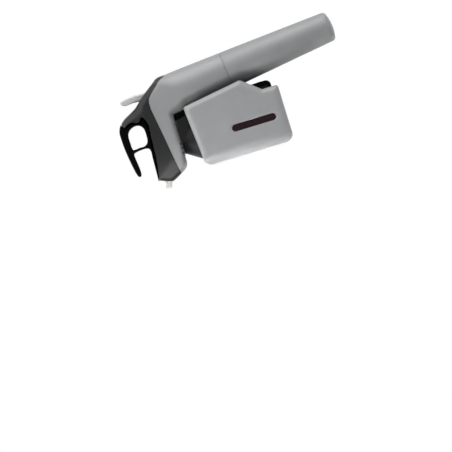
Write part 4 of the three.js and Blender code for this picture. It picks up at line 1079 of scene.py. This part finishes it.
def make_lever():
    """The thumb lever: its blade, the boss on its pin and the nose that presses the valve."""
    outline = smooth([(*p, 1) if p[1] < 30 else p for p in LEVER_OUTLINE], 0.5)
    blade = relief("blade", outline, lambda x, z, depth: LEVER_HALF - edge_drop(depth, LEVER_EDGE), step=0.9,
                   rings=ring_depths(LEVER_EDGE, 5))
    pivot, tip = Vector(LEVER_PIVOT), Vector(LEVER_NOSE)
    along = (tip - pivot).normalized() * LEVER_ARM_HALF
    side = Vector((-along.y, along.x))
    corners = [tuple(p) for p in (pivot + side, pivot - side, tip - side, tip + side)]
    arm = prism("arm", corners, -LEVER_NOSE_HALF, LEVER_NOSE_HALF)
    boss = cross_rod("boss", LEVER_BOSS, LEVER_PIVOT, LEVER_HALF, 64)
    lever = joined(blade, boss, arm, cross_rod("nose", LEVER_NOSE_ROUND, LEVER_NOSE, LEVER_NOSE_HALF))
    lever = cut(lever, cross_rod("pin", PIN_HOLE, LEVER_PIVOT, 9))
    shown("thumb_lever", lever, "silver", "lever", "lever_silver", "trigger_lever", angle=40)


def make_cup():
    """The capsule cup, from the middle of its end up to the seam and down again inside."""
    end = -CUP_LENGTH
    edge = end + 1.4
    flat = CUP_END_RADIUS - CUP_END_ROUND
    rim = [
        (flat + CUP_END_ROUND * math.sin(a), edge + CUP_END_ROUND * (1 - math.cos(a)))
        for a in quarter(10)
    ]
    dome = [(0, end), (4, end + 0.14), (7, end + 0.6)]
    lip = [(SEAM_RADIUS, -0.75), (SEAM_RADIUS - 0.1, -0.5), (SEAM_RADIUS - 0.35, -0.4), (16.9, -0.4)]
    thread_room = [(16.9, -1.8), (15.5, -1.8), (15.5, -14), (14.9, -16)]
    room = [(12, end + 6.2), (9.3, end + 2.3), (0, end + 2)]
    cup = turned("cup", dome + rim + lip + thread_room + room, 144, IN_TUBE)
    shown("capsule_holder", cup, "shell", "cup", "grey_paint", "capsule_cup", angle=30)


def make_clamp():
    """The clamp block, with a finer turned ring over the CAD one."""
    ring = cut(turned("ring", RING_PROFILE, 128), block("stop room", *STOP_ROOM))
    body = cut(joined(merged_copy("clamp_body"), ring), block("rib room", *RIB_ROOM))
    shown("clamp_block", body, "block", "clamp", "block_plastic", "clamp_body", bevel=0.35)


def make_jaws():
    """Each jaw's plate with its flared sight window, and the inner body, pad and pane behind it."""
    line = filleted(PLATE_CORNERS, 0.8)
    outer = relief("plate", line, plate_half(line, 0), step=1.4, flat_low=PLATE_GAP,
                   rings=mixed_depths((4, 5), (PLATE_BEND, 7), 3))
    rim = chosen("window_rim")
    flare = ((0.6, 0.2, 0.5), (0.2, 0.6, 1.8))
    window = lofted("window cut", [
        (20, stadium(WINDOW_HALF)), (PLATE_OUT - rim, stadium(WINDOW_HALF)),
        *[(PLATE_OUT - rim * deep, stadium(WINDOW_HALF, rim * grow, rim * longer))
          for deep, grow, longer in flare],
        (PLATE_OUT + 0.2, stadium(WINDOW_HALF, rim * 0.9, rim * 2.9)),
    ])
    plate = cut(cut(outer, plate_inner(line, 0)), window)
    core = common(merged_copy("jaw_core_right"), plate_inner(line, SEAT_GAP))
    pane = relief("pane", resampled(np.array(stadium(WINDOW_HALF - SEAT_GAP)), PANE_EDGE),
                  lambda x, z, depth: PANE_HALF - edge_drop(depth, PANE_EDGE), step=1.0,
                  rings=ring_depths(PANE_EDGE, 4), middle=PANE_Y)
    shown_pair("clamp_plate", plate, "plate", "grey_paint", "jaw_plate")
    shown_pair("jaw_inner", core, "block", "block_plastic", "jaw_core", bevel=0.3)
    shown_pair("grip_pad", merged_copy("neck_pad_right"), "rubber", "pad_rubber", "neck_pad", bevel=0.4)
    shown_pair("sight_window", pane, "window", "window_smoked", "window_pane", angle=40)


def make_mast():
    """The mast bar, grooved at its sides, with its root in the head and the holes for its pins."""
    bar = relief("mast bar", filleted(MAST_CORNERS, 1.0),
                 lambda x, z, depth: MAST_HALF - edge_drop(depth, MAST_EDGE),
                 step=2.0, rings=ring_depths(MAST_EDGE, 4))
    bar = joined(bar, prism("root", MAST_ROOT, -MAST_ROOT_HALF, MAST_ROOT_HALF))
    bar = cut(
        bar, *[block("groove", *MAST_GROOVE, *sides, -80, 4) for sides in ((-12.0, -6.0), (6.0, 12.0))],
        rod("stop hole", 1.7, -1, 3.4, tipped(21.9, STOP_PIN_Z), 32),
        *[cross_rod("pin hole", 1.6, place, 10) for place in MAST_PINS],
    )
    shown("mast_bar", bar, "black", "head", "hook_plastic", "mast")


def make_spout():
    """The spout, whose root lies in the nose of the cover."""
    spout = turned("spout", SPOUT_PROFILE, 64, IN_SPOUT)
    shown("spout_nozzle", spout, "clear", "head", "clear_plastic", "spout_tip")


def make_screws():
    """The three cover screws and the two hook screws."""
    tree = screw_tree()
    cover = grown("cover_screws", tree, [(x, y, COVER_SCREW_LOW) for x, y in COVER_SCREWS], "steel",
                  head_radius=2.4, head_thick=0.9, shank_radius=1.2, shank_length=10.4, recess_width=0.8,
                  recess_depth=0.6)
    shown("cover_screws", cover, "steel", "head", "steel",
          "cover_screw_front_left", "cover_screw_front_right", "cover_screw_rear")
    hook = grown("hook_screws", tree, HOOK_SCREWS, "steel",
                 head_radius=1.8, head_thick=1.3, shank_radius=1.0, shank_length=4.9, recess_width=0.6,
                 recess_depth=0.7)
    shown("hook_screws", hook, "steel", "head", "steel", "hook_screw_front", "hook_screw_rear")


def make_springs():
    """The torsion spring on each jaw's hinge pin, and the valve's spring that the lever presses together."""
    low, high = SPRING_ENDS
    spring = grown("jaw spring", spring_tree(), [(JAW_PIN_X, JAW_PIN_Y, low)], "steel", coil_radius=2.7,
                   coil_height=high - low, turns=6, wire_radius=chosen("spring_wire") / 2, low_leg=3.7,
                   high_leg=2.7)
    shown_pair("torsion_spring", spring, "steel", "steel", "jaw_spring", ("clamp", "clamp"))
    coil = shown("valve_return_spring", merged_copy("valve_spring"), "steel", "head", "steel",
                 "valve_spring", angle=60)
    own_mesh(coil)


def make_ribs():
    """Ribs across each rubber pad, broken where the sight window passes."""
    tree = rib_tree()
    rows = np.arange(PAD_HIGH - 2.5, PAD_LOW + 2, -chosen("rib_pitch"))
    above = [(0, 0, z) for z in rows if z > WINDOW_HIGH + 2]
    beside = [(0, 0, z) for z in rows if z <= WINDOW_HIGH + 2]
    ribs = gathered("ribs", *[
        grown("rib row", tree, places, "rubber", arc_radius=PAD_RADIUS, start_degrees=start,
              sweep_degrees=sweep, rib_radius=RIB_ROUND)
        for places, spans in ((above, RIBS_ABOVE), (beside, RIBS_BESIDE)) for start, sweep in spans
    ])
    shown_pair("grip_ribs", ribs, "rubber", "pad_rubber", angle=60)


def show_pin(name, radius, low, high, place, body, node):
    """Shows a ground steel pin with chamfered ends."""
    edge = 0.25
    form = turned(name, [
        (0, low), (radius - edge, low), (radius, low + edge),
        (radius, high - edge), (radius - edge, high), (0, high),
    ], 40, place)
    shown(name, form, "steel", body, "steel", node)


def make_turned():
    """The needle with its guide and collar, and the pins, turned round."""
    port = rod("port", 0.35, -2, 2, tipped(0, -40, axis="X"), 16)
    needle = cut(turned("needle", NEEDLE_PROFILE, 32), port)
    shown("hollow_needle", needle, "steel", "head", "steel", "needle")
    bush = turned("bush", BUSH_PROFILE, 64)
    shown("guide_bush", bush, "steel", "clamp", "bush_steel", "needle_bush")
    collar = turned("collar", COLLAR_PROFILE, 64)
    shown("needle_seal_collar", collar, "black", "head", "hook_plastic", "needle_collar")
    for name, node, place, half in (
        ("mast_cross_pin_1", "mast_pin_1", MAST_PINS[0], MAST_PIN_HALF),
        ("mast_cross_pin_2", "mast_pin_2", MAST_PINS[1], MAST_PIN_HALF),
        ("lever_pin", "trigger_pin", LEVER_PIVOT, LEVER_PIN_HALF),
    ):
        show_pin(name, PIN_RADIUS, -half, half, tipped(*place, axis="X"), "head", node)
    for side, y in (("right", JAW_PIN_Y), ("left", -JAW_PIN_Y)):
        place = Matrix.Translation((JAW_PIN_X, y, 0))
        show_pin(f"hinge_pin_{side}", PIN_RADIUS, -70, -4.3, place, "clamp", f"jaw_pin_{side}")
    show_pin("mast_stop", 1.4, 0, 6.3, tipped(18.7, STOP_PIN_Z), "head", "mast_stop_pin")


def make_capsule():
    """The gas capsule: drawn steel with round ends and a neck."""
    tip, radius, neck = -12.9, 11.0, 4.4
    low, root = tip - 89.0, tip - 10.0
    foot_high, shoulder_high = 6.5, 12.0
    foot = [(radius * math.sin(a), low + foot_high * (1 - math.cos(a))) for a in quarter(12)]
    shoulder = [
        (neck + (radius - neck) * math.cos(a), root - shoulder_high + shoulder_high * math.sin(a))
        for a in quarter(12)
    ]
    capsule = turned("capsule", foot + shoulder + [
        (neck, root + 0.6), (neck, tip - 0.4), (neck - 0.4, tip), (1.5, tip), (1.5, root - 2), (0, root - 2),
    ], 80, IN_TUBE)
    shown("gas_bottle", capsule, "steel", "capsule", "steel", "gas_capsule")


# The finish of each material slot
PLAIN_FINISH = {
    "block_plastic": "block", "bush_steel": "steel", "grey_paint": "shell", "pad_rubber": "rubber",
    "window_smoked": "window", "steel": "steel", "cover_plastic": "cover", "hook_plastic": "black",
    "valve_brass": "brass", "clear_plastic": "clear", "lever_silver": "silver",
}
FINISH = {}


def make_finishes():
    """Every finish, named for its real material and how its surface was made."""
    colours = bpy.context.scene.dispenser_colours
    # Moulded ABS under a satin metallic paint: an even grey with a soft sheen and a very fine orange peel
    FINISH["shell"] = finish(
        "satin metallic painted ABS", colours.shell, roughness=0.52, grain=1.1, depth=0.006, shade=0.03,
        metallic=0.2,
    )
    # The clamp plates, moulded ABS with a plain satin paint: flatter than the shell, and a little paler than
    # its grey as painted light for the plates being more brightly lit
    FINISH["plate"] = finish(
        "satin painted ABS paler as painted light", colours.plate, roughness=0.45, grain=1.1, depth=0.006, shade=0.03,
    )
    # Moulded polycarbonate, dark grey: smooth with a slight moulding haze
    FINISH["cover"] = finish(
        "moulded dark polycarbonate", colours.cover, roughness=0.35, grain=0.9, depth=0.004, gloss=0.3,
    )
    # Glass-filled nylon, black and polished in the mould: deep black with faint, soft highlights
    FINISH["black"] = finish(
        "polished black nylon", colours.hook, roughness=0.35, grain=1.2, depth=0.004, shade=0.1, gloss=0.03,
    )
    # Black acetal with a spark-eroded grain: matt and slightly grey
    FINISH["block"] = finish(
        "spark eroded black acetal", colours.block, roughness=0.42, grain=0.7, depth=0.01, shade=0.1,
        gloss=0.15,
    )
    # Moulded silicone rubber: dull and dark
    FINISH["rubber"] = finish(
        "moulded silicone rubber", "#151516", roughness=0.8, grain=1.0, depth=0.03, shade=0.1, gloss=0.2,
    )
    # Anodised aluminium, brushed along the lever: a pale, even silver whose grain hardly shows
    FINISH["silver"] = finish(
        "brushed anodised aluminium", colours.lever, roughness=0.5, grain=0.6, depth=0.0001, shade=0.02,
        rough_swing=0.03, metallic=0.35, stretch=(1, 1, 0.2), gloss=0.3,
    )
    # Smoked polycarbonate, polished in the mould: very dark, with a red cast and a faint, clear highlight
    FINISH["window"] = finish(
        "smoked polycarbonate", colours.window, roughness=0.2, grain=2.0, depth=0.001, shade=0.15,
        gloss=0.08, ior=1.58,
    )
    # Turned stainless steel: bright with fine tool marks
    FINISH["steel"] = finish(
        "turned stainless steel", "#b9bbbd", roughness=0.27, grain=0.5, depth=0.003, shade=0.04,
        metallic=1.0,
    )
    # Machined brass: warm yellow with fine tool marks
    FINISH["brass"] = finish(
        "machined brass", "#b4924f", roughness=0.3, grain=0.6, depth=0.004, metallic=1.0,
    )
    # Milky polypropylene, moulded: pale and slightly waxy
    FINISH["clear"] = finish(
        "milky polypropylene", "#e6e6e0", roughness=0.4, grain=1.5, depth=0.004, shade=0.02, gloss=0.15,
    )


def make_inner():
    """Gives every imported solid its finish, which shows on those that no piece replaces."""
    slots = {s["node"]: s["material_slot"] for s in frame["record"]["subparts"]}
    for name, node in frame["nodes"].items():
        node.data.materials.clear()
        node.data.materials.append(FINISH[PLAIN_FINISH[slots[name]]])


def seen_plainly(tree):
    """1 for a ray from the camera, straight or by gloss or glass, and 0 for one that only carries light."""
    rays = add(tree, "ShaderNodeLightPath").outputs
    seen = rays["Is Camera Ray"]
    for ray in ("Is Glossy Ray", "Is Transmission Ray"):
        seen = add(tree, "ShaderNodeMath", {0: seen, 1: rays[ray]}, operation="MAXIMUM").outputs[0]
    return seen


def make_floor():
    """Matt white paper that looks white further out, and takes the object's shadow."""
    material = bpy.data.materials.new("matt white studio paper")
    tree = bare_tree(material)
    seen = seen_plainly(tree)
    paper = add(tree, "ShaderNodeBsdfDiffuse", {"Color": linear("#e9e9e9")})
    place = add(tree, "ShaderNodeTexCoord").outputs["Object"]
    reach = add(tree, "ShaderNodeVectorMath", {0: place}, operation="LENGTH").outputs["Value"]
    fade = add(tree, "ShaderNodeMapRange", {
        "Value": reach, "From Min": 0.4, "From Max": 1.2, "To Min": 0.56, "To Max": 0.86,
    }, interpolation_type="SMOOTHSTEP")
    glow = add(tree, "ShaderNodeEmission", {"Color": linear(WHITE), "Strength": fade.outputs["Result"]})
    lifted = add(tree, "ShaderNodeAddShader", {0: paper.outputs[0], 1: glow.outputs[0]})
    mixed = add(tree, "ShaderNodeMixShader", {0: seen, 1: paper.outputs[0], 2: lifted.outputs[0]})
    add(tree, "ShaderNodeOutputMaterial", {"Surface": mixed.outputs[0]})
    corners = [(x * PAPER_HALF, y * PAPER_HALF, PAPER_Z) for x, y in ((-1, -1), (1, -1), (1, 1), (-1, 1))]
    floor = put("floor", fresh("floor", corners, [(0, 1, 2, 3)]))
    floor.data.materials.append(material)


def make_world():
    """White surroundings that are seen at full strength and light the object only faintly."""
    world = bpy.data.worlds.new("white studio")
    bpy.context.scene.world = world
    tree = bare_tree(world)
    strength = add(tree, "ShaderNodeMapRange", {"Value": seen_plainly(tree), "To Min": 0.2, "To Max": 1.0})
    sky = add(tree, "ShaderNodeBackground", {
        "Color": linear(WHITE), "Strength": strength.outputs["Result"],
    })
    add(tree, "ShaderNodeOutputWorld", {"Surface": sky.outputs[0]})


def make_lamps():
    """Round lamps: what each aims at, where it is from there in metres, its size, power and spread."""
    middle, plate, nose, arch = (Vector(place) * MM for place in (
        (20, 0, -35), (-26, -20, -28), (-25, 0, 38), (36, 0, 58),
    ))
    for name, aim, where, size, power, fan in (
        ("above", middle, UP * 1.1 + LEFT * 0.3 + VIEW * 0.36, 1.1, 13.0, 180),
        ("below", middle, UP * -0.6 + LEFT * 0.75, 0.3, 4.0, 180),
        ("edge", plate, UP * -0.45 + LEFT * 0.08 + VIEW * 0.03, 0.1, 0.04, 20),
        ("nose", nose, UP * -0.14 + LEFT * -0.05 + VIEW * 0.2, 0.12, 0.28, 180),
        ("arch", arch, UP * 0.12 + LEFT * 0.25 + VIEW * 0.13, 0.4, 0.6, 180),
        ("back", middle, -VIEW * 1.1 + Vector((0, 0, 0.7)), 0.9, 5.0, 180),
    ):
        light = bpy.data.lights.new(name, "AREA")
        light.shape = "DISK"
        light.size = size
        light.energy = power
        light.spread = math.radians(fan)
        lamp = put(name, light)
        lamp.location = aim + where
        lamp.rotation_euler = where.to_track_quat("Z", "Y").to_euler()


def make_camera():
    """The camera at the photograph's angle, and rolled as it is, so that one pixel is PIXEL millimetres."""
    camera = bpy.data.cameras.new("camera")
    camera.sensor_width = 36.0
    camera.lens = camera.sensor_width * CAMERA_AWAY / (FRAME_PIXELS * PIXEL * MM)
    eye = put("camera", camera)
    turn = Matrix((-LEFT, UP, VIEW)).transposed()
    eye.matrix_world = Matrix.Translation(FRAME_CENTRE + VIEW * CAMERA_AWAY) @ turn.to_4x4()
    bpy.context.scene.camera = eye
    bpy.context.scene.view_settings.view_transform = "Standard"


def make_stage():
    """The floor, the surroundings, the lamps and the camera."""
    make_floor()
    make_world()
    make_lamps()
    make_camera()


# Add-on


def length(name, description, default_mm):
    """A size in the sidebar, given here in millimetres."""
    return bpy.props.FloatProperty(name=name, description=description, default=default_mm * MM,
                                   unit="LENGTH", precision=4, min=0.0)


def colour(name, description, default):
    """A colour in the sidebar."""
    return bpy.props.StringProperty(name=name, description=f"{description}, as an sRGB hex value",
                                    default=default)


class DispenserSizes(bpy.types.PropertyGroup):
    """Sizes that change the look and not the fit"""

    head_edge: length("Head edge", "Rounding of the head's long edges", 4.5)
    hook_edge: length("Hook edge", "Rounding of the hook handle's edges", 2.2)
    plate_roll: length("Plate roll", "Radius of the clamp plate's rolled rear edges", 6.0)
    window_rim: length("Window rim", "Depth of the flared rim round the sight window", 1.0)
    spring_wire: length("Spring wire", "Diameter of the torsion springs' wire", 0.8)
    rib_pitch: length("Rib pitch", "Distance between the ribs of the neck pads", 3.7)


class DispenserColours(bpy.types.PropertyGroup):
    """Colours of the moulded and painted pieces"""

    shell: colour("Shell", "Paint of the shell and the cup", "#8b8c8d")
    # The plates' paint is the shell's grey, set a little paler as painted light
    plate: colour("Plate", "Paint of the clamp plates", "#959697")
    cover: colour("Cover", "Top cover", "#0a0a0b")
    hook: colour("Hook", "Hook handle and mast", "#030303")
    block: colour("Block", "Clamp block", "#131314")
    lever: colour("Lever", "Thumb lever", "#b4b5b7")
    window: colour("Window", "Sight window", "#241319")


class PieceOperator:
    """What every piece's operator shares"""

    bl_options = {"REGISTER", "UNDO"}
    make = None

    def execute(self, context):
        type(self).make()
        return {"FINISHED"}


class DISPENSER_OT_finishes(PieceOperator, bpy.types.Operator):
    """Make every finish"""

    bl_idname = "dispenser.finishes"
    bl_label = "Finishes"
    make = staticmethod(make_finishes)


class DISPENSER_OT_inner(PieceOperator, bpy.types.Operator):
    """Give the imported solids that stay, all of them inside, their finishes"""

    bl_idname = "dispenser.inner"
    bl_label = "Inner pieces"
    make = staticmethod(make_inner)


class DISPENSER_OT_head(PieceOperator, bpy.types.Operator):
    """Build the head's shell and its top cover"""

    bl_idname = "dispenser.head"
    bl_label = "Head shell and cover"
    make = staticmethod(make_head)


class DISPENSER_OT_hook(PieceOperator, bpy.types.Operator):
    """Build the hook handle"""

    bl_idname = "dispenser.hook"
    bl_label = "Hook handle"
    make = staticmethod(make_hook)


class DISPENSER_OT_lever(PieceOperator, bpy.types.Operator):
    """Build the thumb lever"""

    bl_idname = "dispenser.lever"
    bl_label = "Thumb lever"
    make = staticmethod(make_lever)


class DISPENSER_OT_cup(PieceOperator, bpy.types.Operator):
    """Build the capsule cup"""

    bl_idname = "dispenser.cup"
    bl_label = "Capsule cup"
    make = staticmethod(make_cup)


class DISPENSER_OT_clamp(PieceOperator, bpy.types.Operator):
    """Build the clamp block"""

    bl_idname = "dispenser.clamp"
    bl_label = "Clamp block"
    make = staticmethod(make_clamp)


class DISPENSER_OT_jaws(PieceOperator, bpy.types.Operator):
    """Build the two jaws with their plates, pads and windows"""

    bl_idname = "dispenser.jaws"
    bl_label = "Jaws"
    make = staticmethod(make_jaws)


class DISPENSER_OT_mast(PieceOperator, bpy.types.Operator):
    """Build the mast"""

    bl_idname = "dispenser.mast"
    bl_label = "Mast"
    make = staticmethod(make_mast)


class DISPENSER_OT_spout(PieceOperator, bpy.types.Operator):
    """Build the spout"""

    bl_idname = "dispenser.spout"
    bl_label = "Spout"
    make = staticmethod(make_spout)


class DISPENSER_OT_screws(PieceOperator, bpy.types.Operator):
    """Build the cover screws and the hook screws"""

    bl_idname = "dispenser.screws"
    bl_label = "Screws"
    make = staticmethod(make_screws)


class DISPENSER_OT_springs(PieceOperator, bpy.types.Operator):
    """Wind the jaws' torsion springs and set the valve's return spring"""

    bl_idname = "dispenser.springs"
    bl_label = "Springs"
    make = staticmethod(make_springs)


class DISPENSER_OT_ribs(PieceOperator, bpy.types.Operator):
    """Build the ribs on the neck pads"""

    bl_idname = "dispenser.ribs"
    bl_label = "Grip ribs"
    make = staticmethod(make_ribs)


class DISPENSER_OT_turned(PieceOperator, bpy.types.Operator):
    """Turn the needle, its guide and its collar, and the pins"""

    bl_idname = "dispenser.turned"
    bl_label = "Needle and pins"
    make = staticmethod(make_turned)


class DISPENSER_OT_capsule(PieceOperator, bpy.types.Operator):
    """Build the gas capsule"""

    bl_idname = "dispenser.capsule"
    bl_label = "Gas capsule"
    make = staticmethod(make_capsule)


class DISPENSER_OT_stage(PieceOperator, bpy.types.Operator):
    """Build the floor, the lights, the white surroundings and the camera"""

    bl_idname = "dispenser.stage"
    bl_label = "Stage"
    make = staticmethod(make_stage)


OPERATORS = (
    DISPENSER_OT_finishes, DISPENSER_OT_inner, DISPENSER_OT_head, DISPENSER_OT_hook, DISPENSER_OT_lever,
    DISPENSER_OT_cup, DISPENSER_OT_clamp, DISPENSER_OT_jaws, DISPENSER_OT_mast, DISPENSER_OT_spout,
    DISPENSER_OT_screws, DISPENSER_OT_springs, DISPENSER_OT_ribs, DISPENSER_OT_turned, DISPENSER_OT_capsule,
    DISPENSER_OT_stage,
)


class DISPENSER_PT_pieces(bpy.types.Panel):
    """Lists the sizes, the colours and the pieces"""

    bl_idname = "DISPENSER_PT_pieces"
    bl_label = "Wine preservation dispenser"
    bl_space_type = "VIEW_3D"
    bl_region_type = "UI"
    bl_category = "Dispenser"

    def draw(self, context):
        for group in (context.scene.dispenser_sizes, context.scene.dispenser_colours):
            box = self.layout.box()
            for key in type(group).__annotations__:
                box.prop(group, key)
        for operator in OPERATORS:
            self.layout.operator(operator.bl_idname)


CLASSES = (DispenserSizes, DispenserColours, *OPERATORS, DISPENSER_PT_pieces)


def register():
    for each in CLASSES:
        bpy.utils.register_class(each)
    bpy.types.Scene.dispenser_sizes = bpy.props.PointerProperty(type=DispenserSizes)
    bpy.types.Scene.dispenser_colours = bpy.props.PointerProperty(type=DispenserColours)


def unregister():
    del bpy.types.Scene.dispenser_colours
    del bpy.types.Scene.dispenser_sizes
    for each in reversed(CLASSES):
        bpy.utils.unregister_class(each)


def main():
    register()
    for operator in OPERATORS:
        family, name = operator.bl_idname.split(".")
        if getattr(getattr(bpy.ops, family), name)() != {"FINISHED"}:
            raise RuntimeError(f"{operator.bl_label} wasn't finished")


if __name__ == "__main__":
    main()
